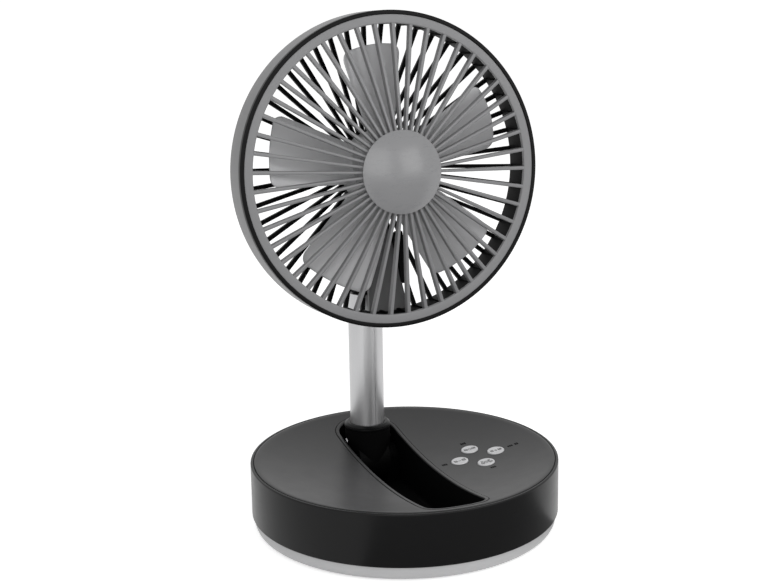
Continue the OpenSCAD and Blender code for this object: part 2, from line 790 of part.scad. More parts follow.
module stator() color("peru") {
    teeth = 9;
    long = stator_back - stator_front;
    core_r = boss_r + 3.8;
    tooth_w = 3.2;
    coil_w = 4.8;
    at_head() translate([0, 0, -stator_back]) difference() {
        union() {
            ring(core_r, boss_r + slip, long);
            for (i = [0 : teeth - 1]) rotate([0, 0, 360 * i / teeth]) {
                translate([core_r - 1, -tooth_w / 2, 3]) cube([stator_r - core_r - 1, tooth_w, long - 6]);
                translate([core_r + 0.6, -coil_w / 2, 1.5]) cube([stator_r - core_r - 3.6, coil_w, long - 3]);
                intersection() {
                    translate([stator_r - 4.4, -4.6, 3]) cube([6, 9.2, long - 6]);
                    ring(stator_r, stator_r - 2.6, long);
                }
            }
        }
        translate([0, 0, -1]) cylinder(r = boss_r + slip, h = long + 2);
    }
}

module motor_bearings() color("silver") {
    plate = hub_depth - seat_t;
    at_head() for (d = [boss_front, plate - bearing_w]) translate([0, 0, -d - bearing_w])
        ring(bearing_r, shaft_r + run, bearing_w);
}

module motor_screws() color("silver") {
    at_head() for (a = [0, 120, 240]) rotate([0, 0, a + 30])
        translate([motor_screw_r, 0, -hub_depth]) {
            cylinder(r = screw_shank_r, h = 6, $fn = 24);
            translate([0, 0, seat_t]) cylinder(r = 2.4, h = 1.4, $fn = 32);
        }
}

// ---------------------------------------------------------------- rotor

// Point of a blade: t runs from hub to tip, s across the blade, side is the face
function blade_point(t, s, side) =
    let (r0 = hub_r - 1.2,
         corner = 0.14,
         u = min(1, (1 - t) / corner),
         ease = sqrt(max(0, 1 - pow(1 - u, 2))),
         r = r0 + (blade_r - r0) * t,
         w = (blade_w_in + (blade_w - blade_w_in) * pow(t, 0.8)) * (0.72 + 0.28 * ease),
         p = blade_pitch_in + (blade_pitch - blade_pitch_in) * t,
         x = w * s,
         camber = 1.6 * (1 - 4 * s * s),
         y_plane = x * cos(p),
         z = x * sin(p) + camber + side * blade_t / 2,
         a = y_plane / r * 180 / PI)
    [r * cos(a), r * sin(a), z - blade_mid];

module blade() {
    nt = 9;
    ns = 8;
    back = [for (i = [0 : nt], j = [0 : ns]) blade_point(i / nt, j / ns - 0.5, -1)];
    front = [for (i = [0 : nt], j = [0 : ns]) blade_point(i / nt, j / ns - 0.5, 1)];
    m = (nt + 1) * (ns + 1);
    function id(i, j, k) = k * m + i * (ns + 1) + j;
    polyhedron(points = concat(back, front), faces = concat(
        [for (i = [0 : nt - 1], j = [0 : ns - 1]) [id(i, j, 0), id(i + 1, j, 0), id(i + 1, j + 1, 0)]],
        [for (i = [0 : nt - 1], j = [0 : ns - 1]) [id(i, j, 0), id(i + 1, j + 1, 0), id(i, j + 1, 0)]],
        [for (i = [0 : nt - 1], j = [0 : ns - 1]) [id(i, j, 1), id(i + 1, j + 1, 1), id(i + 1, j, 1)]],
        [for (i = [0 : nt - 1], j = [0 : ns - 1]) [id(i, j, 1), id(i, j + 1, 1), id(i + 1, j + 1, 1)]],
        [for (i = [0 : nt - 1]) [id(i, 0, 0), id(i, 0, 1), id(i + 1, 0, 1)]],
        [for (i = [0 : nt - 1]) [id(i, 0, 0), id(i + 1, 0, 1), id(i + 1, 0, 0)]],
        [for (i = [0 : nt - 1]) [id(i, ns, 0), id(i + 1, ns, 0), id(i + 1, ns, 1)]],
        [for (i = [0 : nt - 1]) [id(i, ns, 0), id(i + 1, ns, 1), id(i, ns, 1)]],
        [for (j = [0 : ns - 1]) [id(0, j, 0), id(0, j + 1, 0), id(0, j + 1, 1)]],
        [for (j = [0 : ns - 1]) [id(0, j, 0), id(0, j + 1, 1), id(0, j, 1)]],
        [for (j = [0 : ns - 1]) [id(nt, j, 0), id(nt, j, 1), id(nt, j + 1, 1)]],
        [for (j = [0 : ns - 1]) [id(nt, j, 0), id(nt, j + 1, 1), id(nt, j + 1, 0)]]));
}

blade_phase = 25;

module fan_rotor() color("silver") {
    bore = shaft_r + slip;
    face = hub_front + 2.6;
    at_head() {
        spin_depth([[bore, hub_front - 1.2], [hub_r - 9, hub_front - 0.8], [hub_r - 2, hub_front + 0.6],
                    [hub_r, face], [hub_r, hub_back], [hub_r - hub_wall, hub_back],
                    [hub_r - hub_wall, face], [boss_r - 1, face],
                    [boss_r - 1, boss_front - 2], [bore, boss_front - 2]]);
        for (i = [0 : blades - 1]) rotate([0, 0, blade_phase + 360 * i / blades]) blade();
    }
}

module magnet_ring() color("dimgray") {
    r = hub_r - hub_wall - slip;
    at_head() translate([0, 0, -stator_back]) ring(r, r - magnet_t, stator_back - stator_front);
}

module motor_shaft() color("silver") {
    at_head() translate([0, 0, -hub_depth + 0.8])
        cylinder(r = shaft_r, h = hub_depth - 0.8 - hub_front + 3.6, $fn = 32);
}

module rotor_nut() color("silver") {
    at_head() translate([0, 0, -hub_front + 1.2]) difference() {
        cylinder(r = 3.2, h = 2.2, $fn = 6);
        translate([0, 0, -1]) cylinder(r = shaft_r + slip, h = 5, $fn = 32);
    }
}

// ---------------------------------------------------------------- assembly

base_shell();
bottom_pan();
dish_panel();
slot_trough();
rubber_feet();
pan_screws();
foot_screws();
battery_cells();
battery_cradle();
control_board();
tact_switches();
usb_port();
foot_pin();
foot_washers();
power_button();
timer_button();
slower_button();
faster_button();
foot_knuckle();
pole_collar();
outer_tube();
second_tube();
second_bush();
third_tube();
third_bush();
inner_tube();
inner_bush();
neck_knuckle();
neck_pin();
neck_washers();
rear_cage();
head_shell();
bezel_ring();
front_grille();
grille_cap();
motor_cover();
stator();
motor_bearings();
motor_screws();
fan_rotor();
magnet_ring();
motor_shaft();
rotor_nut();
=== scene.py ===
"""Dresses the folding camping fan: mouldings, grilles, blades, motor, marks, finishes and studio.

Lengths are in metres in the row's frame, unless a field's name ends in _mm.
"""

from __future__ import annotations

import json
import logging
import math
from dataclasses import dataclass, field
from enum import Enum
from typing import Iterable, Sequence

import bmesh
import bpy
import numpy as np
from mathutils import Matrix, Vector

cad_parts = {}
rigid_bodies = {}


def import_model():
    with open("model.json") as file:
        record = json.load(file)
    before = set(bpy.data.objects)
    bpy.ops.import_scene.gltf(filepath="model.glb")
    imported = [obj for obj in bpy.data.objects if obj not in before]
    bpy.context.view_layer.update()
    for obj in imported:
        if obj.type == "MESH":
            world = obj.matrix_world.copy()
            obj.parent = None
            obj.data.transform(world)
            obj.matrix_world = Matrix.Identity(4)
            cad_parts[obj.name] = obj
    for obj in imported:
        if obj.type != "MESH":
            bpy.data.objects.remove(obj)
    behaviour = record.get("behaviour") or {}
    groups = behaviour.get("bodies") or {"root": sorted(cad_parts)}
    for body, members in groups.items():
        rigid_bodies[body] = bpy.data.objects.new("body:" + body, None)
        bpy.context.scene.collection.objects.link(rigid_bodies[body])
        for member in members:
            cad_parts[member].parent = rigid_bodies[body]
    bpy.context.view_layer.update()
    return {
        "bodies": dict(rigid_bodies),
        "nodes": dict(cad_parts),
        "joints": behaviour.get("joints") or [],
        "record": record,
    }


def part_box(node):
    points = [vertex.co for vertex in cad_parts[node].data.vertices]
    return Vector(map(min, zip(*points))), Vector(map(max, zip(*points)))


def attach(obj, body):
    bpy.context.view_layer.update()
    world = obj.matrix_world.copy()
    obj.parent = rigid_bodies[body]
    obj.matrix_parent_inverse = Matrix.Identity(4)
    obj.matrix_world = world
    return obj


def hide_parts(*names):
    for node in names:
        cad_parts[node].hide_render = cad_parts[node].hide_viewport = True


log = logging.getLogger("camping_fan")

MM = 0.001
BIG_ROUND = 256
SMALL_ROUND = 128
Point = tuple[float, float, float]
Profile = list[tuple[float, float]]


# --------------------------------------------------------------------------- shader tools


class Wire:
    """A shader socket that can be used in Python arithmetic."""

    def __init__(self, bench: "Bench", socket: bpy.types.NodeSocket) -> None:
        """Wraps a socket of the bench's node tree.

        Args:
            bench: the material under construction.
            socket: an output socket.
        """
        self.bench = bench
        self.socket = socket

    def _math(self, operation: str, first: object, second: object = None) -> "Wire":
        """Adds one Math node.

        Args:
            operation: the node's operation.
            first: a wire or a number.
            second: a wire, a number or nothing.

        Returns:
            The node's result.
        """
        values = [first] if second is None else [first, second]
        node = self.bench.node("ShaderNodeMath", {"operation": operation}, dict(enumerate(values)))
        return Wire(self.bench, node.outputs[0])

    def __add__(self, other: object) -> "Wire":
        """Sum."""
        return self._math("ADD", self, other)

    def __radd__(self, other: object) -> "Wire":
        """Sum, reflected."""
        return self._math("ADD", other, self)

    def __sub__(self, other: object) -> "Wire":
        """Difference."""
        return self._math("SUBTRACT", self, other)

    def __rsub__(self, other: object) -> "Wire":
        """Difference, reflected."""
        return self._math("SUBTRACT", other, self)

    def __mul__(self, other: object) -> "Wire":
        """Product."""
        return self._math("MULTIPLY", self, other)

    def __rmul__(self, other: object) -> "Wire":
        """Product, reflected."""
        return self._math("MULTIPLY", other, self)

    def __gt__(self, other: object) -> "Wire":
        """1 where this is greater, else 0."""
        return self._math("GREATER_THAN", self, other)

    def clamp(self, low: float = 0.0, high: float = 1.0) -> "Wire":
        """Limits the value.

        Args:
            low: least result.
            high: greatest result.

        Returns:
            The limited value.
        """
        return self._math("MINIMUM", self._math("MAXIMUM", self, low), high)

    def sine(self) -> "Wire":
        """Sine of the value in radians."""
        return self._math("SINE", self)


class NodeSet:
    """A node tree, and the one way in which nodes get into it."""

    def __init__(self, tree: bpy.types.NodeTree) -> None:
        """Keeps the tree.

        Args:
            tree: what the nodes are added to.
        """
        self.tree = tree

    def node(self, kind: str, settings: dict[str, object] | None = None,
             sockets: dict[object, object] | None = None) -> bpy.types.Node:
        """Adds any node.

        Args:
            kind: the node's type.
            settings: properties that are set first.
            sockets: values, wires, sockets or nodes by input name or number.

        Returns:
            The new node.
        """
        node = self.tree.nodes.new(kind)
        for key, value in (settings or {}).items():
            setattr(node, key, value)
        for key, value in (sockets or {}).items():
            if isinstance(value, Wire):
                value = value.socket
            elif isinstance(value, bpy.types.Node):
                value = value.outputs[0]
            if isinstance(value, bpy.types.NodeSocket):
                self.tree.links.new(value, node.inputs[key])
            else:
                node.inputs[key].default_value = value
        return node


class Bench(NodeSet):
    """Builds one material or world from Python expressions."""

    def __init__(self, owner: bpy.types.Material | bpy.types.World) -> None:
        """Starts with an empty tree.

        Args:
            owner: what the nodes belong to.
        """
        owner.use_nodes = True
        super().__init__(owner.node_tree)
        self.owner = owner
        self.tree.nodes.clear()
        self._coords: bpy.types.Node | None = None

    @classmethod
    def material(cls, name: str) -> "Bench":
        """A bench for a new material of that name."""
        return cls(bpy.data.materials.new(name))

    def wire(self, node: bpy.types.Node, output: object = 0) -> Wire:
        """Wraps one output of a node.

        Args:
            node: the node.
            output: the output's name or number.

        Returns:
            The wire.
        """
        return Wire(self, node.outputs[output])

    def coords(self) -> Wire:
        """Object coordinates, which on every piece are the row's own."""
        if self._coords is None:
            self._coords = self.node("ShaderNodeTexCoord")
        return self.wire(self._coords, "Object")

    def stretched(self, scale: Point) -> Wire:
        """Object coordinates, stretched.

        Args:
            scale: stretch of the pattern along X, Y and Z.

        Returns:
            The coordinates.
        """
        node = self.node("ShaderNodeMapping", {"vector_type": "TEXTURE"},
                         {"Vector": self.coords(), "Scale": tuple(1.0 / s for s in scale)})
        return self.wire(node)

    def axes(self, vector: Wire) -> tuple[Wire, Wire, Wire]:
        """Splits a vector.

        Args:
            vector: the vector.

        Returns:
            Its three parts.
        """
        node = self.node("ShaderNodeSeparateXYZ", sockets={0: vector})
        return self.wire(node, 0), self.wire(node, 1), self.wire(node, 2)

    def noise(self, vector: Wire, scale: float, detail: float = 2.0, rough: float = 0.5) -> Wire:
        """Soft noise around one half.

        Args:
            vector: where it is read.
            scale: grains in a metre.
            detail: octaves.
            rough: strength of the finer octaves.

        Returns:
            The noise.
        """
        node = self.node("ShaderNodeTexNoise", None,
                         {"Vector": vector, "Scale": scale, "Detail": detail, "Roughness": rough})
        return self.wire(node, 0)

    def cells(self, vector: Wire, scale: float) -> Wire:
        """Distance to the nearest point of a scattered grid.

        Args:
            vector: where it is read.
            scale: points in a metre.

        Returns:
            The distance.
        """
        node = self.node("ShaderNodeTexVoronoi", {"feature": "F1"}, {"Vector": vector, "Scale": scale})
        return self.wire(node, "Distance")

    def tint(self, factor: Wire, low: "Colour", high: "Colour") -> Wire:
        """Mixes two colours.

        Args:
            factor: 0 for the first colour, 1 for the second.
            low: first colour.
            high: second colour.

        Returns:
            The mixed colour.
        """
        node = self.node("ShaderNodeMix", {"data_type": "RGBA"},
                         {0: factor, 6: low.rgba, 7: high.rgba})
        return self.wire(node, 2)

    def bump(self, height: Wire, distance: float, strength: float) -> Wire:
        """Turns a height into a normal.

        Args:
            height: the height, 0 to 1.
            distance: the real height of 1, in metres.
            strength: how much of it shows.

        Returns:
            The normal.
        """
        node = self.node("ShaderNodeBump", None,
                         {"Height": height, "Distance": distance, "Strength": strength})
        return self.wire(node)

    def finish(self, **sockets: object) -> bpy.types.Material:
        """Closes the material with a Principled shader.

        Args:
            **sockets: values or wires by socket name, with _ for a space.

        Returns:
            The finished material.
        """
        named = {key.replace("_", " "): value for key, value in sockets.items()}
        shader = self.node("ShaderNodeBsdfPrincipled", None, named)
        self.node("ShaderNodeOutputMaterial", None, {0: shader})
        return self.owner


@dataclass(frozen=True)
class Colour:
    """A colour as the eye reads it, in display values from 0 to 1."""

    red: float
    green: float
    blue: float

    @staticmethod
    def _linear(value: float) -> float:
        """Display value to light.

        Args:
            value: 0 to 1 as displayed.

        Returns:
            The linear value.
        """
        return value / 12.92 if value <= 0.04045 else ((value + 0.055) / 1.055) ** 2.4

    @property
    def rgba(self) -> tuple[float, float, float, float]:
        """The colour for a socket."""
        return (self._linear(self.red), self._linear(self.green), self._linear(self.blue), 1.0)

    def scaled(self, factor: float) -> "Colour":
        """A lighter or darker version.

        Args:
            factor: multiplies each display value.

        Returns:
            The new colour.
        """
        return Colour(*(min(1.0, c * factor) for c in (self.red, self.green, self.blue)))

    @staticmethod
    def grey(value: float, cool: float = 0.0) -> "Colour":
        """A grey with a little blue in it.

        Args:
            value: display value.
            cool: extra blue.

        Returns:
            The colour.
        """
        return Colour(value, value, min(1.0, value + cool))


# --------------------------------------------------------------------------- finishes


@dataclass(frozen=True)
class MouldedPlastic:
    """Injection-moulded plastic with a fine spark-eroded grain and soft mottling."""

    name: str
    colour: Colour
    roughness: float = 0.45
    grain_mm: float = 0.35
    grain_height_mm: float = 0.004
    mottle: float = 0.05
    coat: float = 0.0
    specular: float = 0.5

    def build(self) -> bpy.types.Material:
        """Makes the material."""
        bench = Bench.material(self.name)
        here = bench.coords()
        cloud = bench.noise(here, 24.0, 3.0)
        fine = bench.noise(here, 1.0 / (self.grain_mm * MM), 2.0, 0.6)
        smear = bench.noise(bench.stretched((1.0, 1.0, 3.0)), 60.0, 4.0, 0.65)
        tone = (cloud * 0.7 + smear * 0.3).clamp()
        base = bench.tint(tone, self.colour.scaled(1 - self.mottle), self.colour.scaled(1 + self.mottle))
        rough = (self.roughness + (smear - 0.5) * 0.10 + (fine - 0.5) * 0.06).clamp(0.05, 1.0)
        normal = bench.bump(fine, self.grain_height_mm * MM, 0.7)
        return bench.finish(Base_Color=base, Roughness=rough, Normal=normal, Coat_Weight=self.coat,
                            Coat_Roughness=0.12, Specular_IOR_Level=self.specular)


@dataclass(frozen=True)
class DrawnTube:
    """Plated tube with faint draw lines along its axis and light handling haze."""

    name: str
    colour: Colour
    roughness: float = 0.33
    metallic: float = 0.9
    line_mm: float = 0.25

    def build(self) -> bpy.types.Material:
        """Makes the material."""
        bench = Bench.material(self.name)
        along = bench.stretched((1.0, 1.0, 0.012))
        lines = bench.noise(along, 1.0 / (self.line_mm * MM), 3.0, 0.7)
        haze = bench.noise(bench.coords(), 30.0, 4.0, 0.6)
        base = bench.tint(lines * 0.6 + haze * 0.4, self.colour.scaled(0.93), self.colour.scaled(1.04))
        rough = (self.roughness + (lines - 0.5) * 0.08 + (haze - 0.5) * 0.06).clamp(0.08, 0.9)
        normal = bench.bump(lines, 0.002 * MM, 0.6)
        return bench.finish(Base_Color=base, Roughness=rough, Metallic=self.metallic, Normal=normal)


@dataclass(frozen=True)
class TurnedSteel:
    """Small steel parts with lathe marks and a dull film."""

    name: str
    colour: Colour
    roughness: float = 0.3

    def build(self) -> bpy.types.Material:
        """Makes the material."""
        bench = Bench.material(self.name)
        film = bench.noise(bench.coords(), 400.0, 3.0, 0.6)
        marks = bench.noise(bench.stretched((1.0, 1.0, 6.0)), 900.0, 2.0)
        base = bench.tint(film, self.colour.scaled(0.85), self.colour.scaled(1.08))
        rough = (self.roughness + (film - 0.5) * 0.2).clamp(0.08, 0.9)
        return bench.finish(Base_Color=base, Roughness=rough, Metallic=1.0,
                            Normal=bench.bump(marks, 0.002 * MM, 0.8))


@dataclass(frozen=True)
class MattRubber:
    """Soft black rubber with a dusty bloom."""

    name: str
    colour: Colour

    def build(self) -> bpy.types.Material:
        """Makes the material."""
        bench = Bench.material(self.name)
        bloom = bench.noise(bench.coords(), 150.0, 5.0, 0.7)
        pits = bench.cells(bench.coords(), 2200.0)
        base = bench.tint(bloom, self.colour, self.colour.scaled(1.5))
        return bench.finish(Base_Color=base, Roughness=(0.78 + (bloom - 0.5) * 0.2).clamp(),
                            Normal=bench.bump(pits, 0.01 * MM, 0.6))


@dataclass(frozen=True)
class CircuitBoard:
    """Green solder resist over a grid of copper tracks."""

    name: str
    resist: Colour
    track: Colour
    pitch_mm: float = 1.6

    def build(self) -> bpy.types.Material:
        """Makes the material."""
        bench = Bench.material(self.name)
        x, y, _ = bench.axes(bench.coords())
        turn = 2 * math.pi / (self.pitch_mm * MM)
        rows = (x * turn).sine() > 0.8
        columns = (y * turn).sine() > 0.8
        region = bench.noise(bench.coords(), 180.0, 0.0) > 0.5
        tracks = (rows * region + columns * (1.0 - region)).clamp()
        speck = bench.noise(bench.coords(), 900.0, 2.0)
        rough = (0.35 + (speck - 0.5) * 0.15).clamp()
        return bench.finish(Base_Color=bench.tint(tracks, self.resist, self.track), Roughness=rough,
                            Normal=bench.bump(tracks, 0.03 * MM, 0.8))


@dataclass(frozen=True)
class WoundCopper:
    """Enamelled copper wire laid side by side on laminated steel."""

    name: str
    wire: Colour
    wire_mm: float = 0.45

    def build(self) -> bpy.types.Material:
        """Makes the material."""
        bench = Bench.material(self.name)
        _, y, z = bench.axes(bench.coords())
        coil = ((y + z * 0.12) * (2 * math.pi / (self.wire_mm * MM))).sine() * 0.5 + 0.5
        glaze = bench.noise(bench.coords(), 300.0, 2.0)
        base = bench.tint(coil * 0.6 + glaze * 0.4, self.wire.scaled(0.45), self.wire)
        return bench.finish(Base_Color=base, Roughness=(0.3 + (glaze - 0.5) * 0.2).clamp(),
                            Metallic=0.7, Normal=bench.bump(coil, 0.15 * MM, 0.9))


@dataclass(frozen=True)
class PrintedInk:
    """Pad-printed ink, a hair rougher than what it is printed on."""

    name: str
    colour: Colour
    specular: float = 0.3

    def build(self) -> bpy.types.Material:
        """Makes the material."""
        bench = Bench.material(self.name)
        dots = bench.noise(bench.coords(), 5000.0, 2.0)
        base = bench.tint(dots, self.colour.scaled(0.9), self.colour.scaled(1.1))
        return bench.finish(Base_Color=base, Roughness=(0.5 + (dots - 0.5) * 0.2).clamp(),
                            Normal=bench.bump(dots, 0.004 * MM, 0.5),
                            Specular_IOR_Level=self.specular)


class Palette:
    """All finishes of the fan, by a maker's plain names."""

    def __init__(self) -> None:
        """Builds each material once.

        A plastic's colour is followed by its roughness, grain, grain height, mottle, coat and specular.
        """
        grey = Colour.grey
        recipes = (
            MouldedPlastic("wall_black", grey(0.08, 0.002), 0.3, 0.30, 0.003, 0.06, 0.0, 0.15),
            MouldedPlastic("panel_grey", grey(0.14, 0.003), 0.34, 0.30, 0.003, 0.05, 0.0, 0.22),
            MouldedPlastic("collar_black", grey(0.03, 0.003), 0.32, 0.30, 0.003, 0.06, 0.0, 0.12),
            # Near-black with little sheen: black plastic darkened further as painted shade inside the
            # trough; the knuckles, cradle and cheeks share it.
            MouldedPlastic("deep_black", grey(0.012, 0.001), 0.6, 0.40, 0.005, 0.10, 0.0, 0.05),
            MouldedPlastic("bezel_black", grey(0.04, 0.002), 0.42, 0.30, 0.004, 0.06, 0.0, 0.12),
            MouldedPlastic("cage_black", grey(0.02, 0.002), 0.55, 0.40, 0.006, 0.08, 0.0, 0.06),
            MouldedPlastic("panel_black", grey(0.25, 0.003), 0.5, 0.40, 0.006, 0.06),
            MouldedPlastic("pan_grey", grey(0.74, 0.004), 0.42, 0.35, 0.004, 0.03),
            MouldedPlastic("drum_grey", grey(0.41, 0.005), 0.4, 0.35, 0.004, 0.04),
            MouldedPlastic("grille_grey", grey(0.49, 0.005), 0.38, 0.35, 0.004, 0.04),
            MouldedPlastic("cap_grey", grey(0.52, 0.006), 0.28, 0.30, 0.003, 0.03, 0.1),
            MouldedPlastic("blade_grey", grey(0.72, 0.006), 0.32, 0.45, 0.004, 0.04, 0.1),
            MouldedPlastic("hub_grey", grey(0.60, 0.006), 0.36, 0.40, 0.004, 0.04),
            MouldedPlastic("key_grey", grey(0.84, 0.006), 0.4, 0.30, 0.003, 0.03),
            MouldedPlastic("bush_white", grey(0.82), 0.5, 0.5, 0.004, 0.03),
            MouldedPlastic("cell_blue", Colour(0.12, 0.28, 0.52), 0.28, 0.6, 0.006, 0.05, 0.4),
            DrawnTube("tube_chrome", grey(0.74, 0.004)),
            TurnedSteel("steel", grey(0.72, 0.008)),
            TurnedSteel("brass", Colour(0.78, 0.62, 0.32)),
            TurnedSteel("magnet", grey(0.28, 0.006), 0.5),
            MattRubber("foot_rubber", grey(0.10)),
            CircuitBoard("board_green", Colour(0.03, 0.25, 0.13), Colour(0.10, 0.40, 0.22)),
            WoundCopper("copper", Colour(0.80, 0.42, 0.20)),
            PrintedInk("ink_black", grey(0.02), 0.02),
            PrintedInk("ink_grey", grey(0.30)),
        )
        self.materials = {recipe.name: recipe.build() for recipe in recipes}

    def __getitem__(self, name: str) -> bpy.types.Material:
        """The material of that name."""
        return self.materials[name]


# --------------------------------------------------------------------------- mesh tools


class Mill:
    """Makes plain meshes at the origin and hands them to the frame."""

    def __init__(self, palette: Palette) -> None:
        """Keeps the palette.

        Args:
            palette: the finishes.
        """
        self.palette = palette

    @staticmethod
    def mesh(name: str, vertices: Iterable[Sequence[float]],
             faces: Iterable[Sequence[int]]) -> bpy.types.Object:
        """Makes an object from points and faces.

        Args:
            name: the piece's name.
            vertices: points in metres.
            faces: point numbers of each face.

        Returns:
            The new object, linked to the scene.
        """
        data = bpy.data.meshes.new(name)
        data.from_pydata([tuple(v) for v in vertices], [], [tuple(f) for f in faces])
        data.update()
        piece = bpy.data.objects.new(name, data)
        bpy.context.scene.collection.objects.link(piece)
        return piece

    @staticmethod
    def tidy(piece: bpy.types.Object, merge: float = 1e-6, sharp_deg: float = 32.0) -> bpy.types.Object:
        """Merges doubles, points faces outwards and sets smooth shading with sharp edges.

        Args:
            piece: the object.
            merge: distance under which points are one.
            sharp_deg: edges that turn more than this stay sharp.

        Returns:
            The same object.
        """
        bm = bmesh.new()
        bm.from_mesh(piece.data)
        bmesh.ops.remove_doubles(bm, verts=bm.verts, dist=merge)
        bmesh.ops.dissolve_degenerate(bm, edges=bm.edges, dist=merge)
        bmesh.ops.recalc_face_normals(bm, faces=bm.faces)
        bm.to_mesh(piece.data)
        bm.free()
        piece.data.shade_smooth()
        piece.data.set_sharp_from_angle(angle=math.radians(sharp_deg))
        return piece

    @staticmethod
    def loft(name: str, rings: Sequence[Sequence[Sequence[float]]], closed: bool = False,
             merge: float = 1e-6, sharp_deg: float = 32.0) -> bpy.types.Object:
        """Joins closed rings of points, each to the next.

        Args:
            name: the piece's name.
            rings: the rings, with as many points each.
            closed: the last ring joins the first; else both are filled by a flat face.
            merge: distance under which points are one.
            sharp_deg: edges that turn more than this stay sharp.

        Returns:
            The piece.
        """
        n, count = len(rings[0]), len(rings)
        faces: list[tuple[int, ...]] = []
        for k in range(count if closed else count - 1):
            here, there = k * n, ((k + 1) % count) * n
            faces += [(here + i, here + (i + 1) % n, there + (i + 1) % n, there + i)
                      for i in range(n)]
        if not closed:
            faces += [tuple(range(n)), tuple(range((count - 1) * n, count * n))]
        points = [point for ring in rings for point in ring]
        return Mill.tidy(Mill.mesh(name, points, faces), merge, sharp_deg)

    def lathe(self, name: str, profile: Profile, steps: int,
              place: Matrix = Matrix.Identity(4)) -> bpy.types.Object:
        """Turns a closed outline round the Z axis.

        Args:
            name: the piece's name.
            profile: radius and height, in metres, of each corner in order.
            steps: facets round the axis.
            place: where the result goes.

        Returns:
            The piece.
        """
        rings = [[place @ Vector((r * math.cos(a), r * math.sin(a), z)) for r, z in profile]
                 for a in np.linspace(0, 2 * math.pi, steps, endpoint=False)]
        return self.loft(name, rings, True, 1e-7)

    def plug(self, name: str, radius: float, low: float, high: float, steps: int,
             place: Matrix) -> bpy.types.Object:
        """A round block for cutting.

        Args:
            name: the block's name.
            radius: its radius.
            low: its lower height.
            high: its upper height.
            steps: facets round it.
            place: where it goes.

        Returns:
            The block.
        """
        corners = [(0, low), (radius, low), (radius, high), (0, high)]
        return self.lathe(name, corners, steps, place)

    @staticmethod
    def rounded(points: Profile, radius: dict[int, float], steps: int = 5) -> Profile:
        """Rounds chosen corners of an outline.

        Args:
            points: the outline's corners.
            radius: setback of the round at each chosen corner.
            steps: points on each round.

        Returns:
            The new outline.
        """
        out: Profile = []
        for i, point in enumerate(points):
            if i not in radius:
                out.append(point)
                continue
            here = Vector(point)
            before, after = Vector(points[i - 1]), Vector(points[(i + 1) % len(points)])
            first = here + (before - here).normalized() * radius[i]
            last = here + (after - here).normalized() * radius[i]
            for k in range(steps + 1):
                t = k / steps
                spot = first * (1 - t) ** 2 + here * (2 * t * (1 - t)) + last * t ** 2
                out.append((spot.x, spot.y))
        return out

    def dress(self, piece: bpy.types.Object, finish: str, body: str, replaces: Sequence[str],
              slot: str) -> None:
        """Gives a piece its finish and hands it to its body.

        Args:
            piece: the object, in place.
            finish: a palette name.
            body: the CAD body that carries it.
            replaces: CAD nodes that it stands for.
            slot: the record's slot; not used.
        """
        piece.data.materials.clear()
        piece.data.materials.append(self.palette[finish])
        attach(piece, body)
        if replaces:
            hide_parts(*replaces)
        log.info("%s: %d faces on %s", piece.name, len(piece.data.polygons), body)

    def repeat(self, name: str, unit: bpy.types.Object, count: int, phase: float, place: Matrix,
               finish: str) -> bpy.types.Object:
        """Repeats a unit round an axis and deletes it.

        Args:
            name: the new piece's name.
            unit: the object that repeats, drawn on the +X side.
            count: how many copies.
            phase: angle of the first copy, in radians.
            place: where the axis goes.
            finish: a palette name.

        Returns:
            The piece.
        """
        grower = Grower(name + "_tree")
        piece = grower.run(name, grower.around(unit, count, phase), place, self.palette[finish])
        bpy.data.objects.remove(unit)
        return piece

    def cut(self, piece: bpy.types.Object, tools: Sequence[bpy.types.Object]) -> None:
        """Cuts tools out of a piece and deletes them.

        Args:
            piece: what is cut.
            tools: the cutting shapes.
        """
        for tool in tools:
            modifier = piece.modifiers.new("cut", "BOOLEAN")
            modifier.operation = "DIFFERENCE"
            modifier.solver = "EXACT"
            modifier.object = tool
        self.apply(piece)
        for tool in tools:
            bpy.data.objects.remove(tool)

    def soften(self, piece: bpy.types.Object, width: float, segments: int, limit_deg: float) -> None:
        """Rounds a piece's edges.

        Args:
            piece: the object.
            width: width of the round.
            segments: facets of the round.
            limit_deg: edges that turn less than this stay as they are.
        """
        bevel = piece.modifiers.new("edge", "BEVEL")
        bevel.width, bevel.segments, bevel.limit_method = width, segments, "ANGLE"
        bevel.angle_limit = math.radians(limit_deg)
        self.apply(piece)
        self.tidy(piece)

    @staticmethod
    def apply(piece: bpy.types.Object) -> None:
        """Turns what the modifiers make into the piece's own mesh and removes them.

        Args:
            piece: the object.
        """
        bpy.context.view_layer.update()
        graph = bpy.context.evaluated_depsgraph_get()
        result = bpy.data.meshes.new_from_object(piece.evaluated_get(graph))
        piece.modifiers.clear()
        piece.data = result


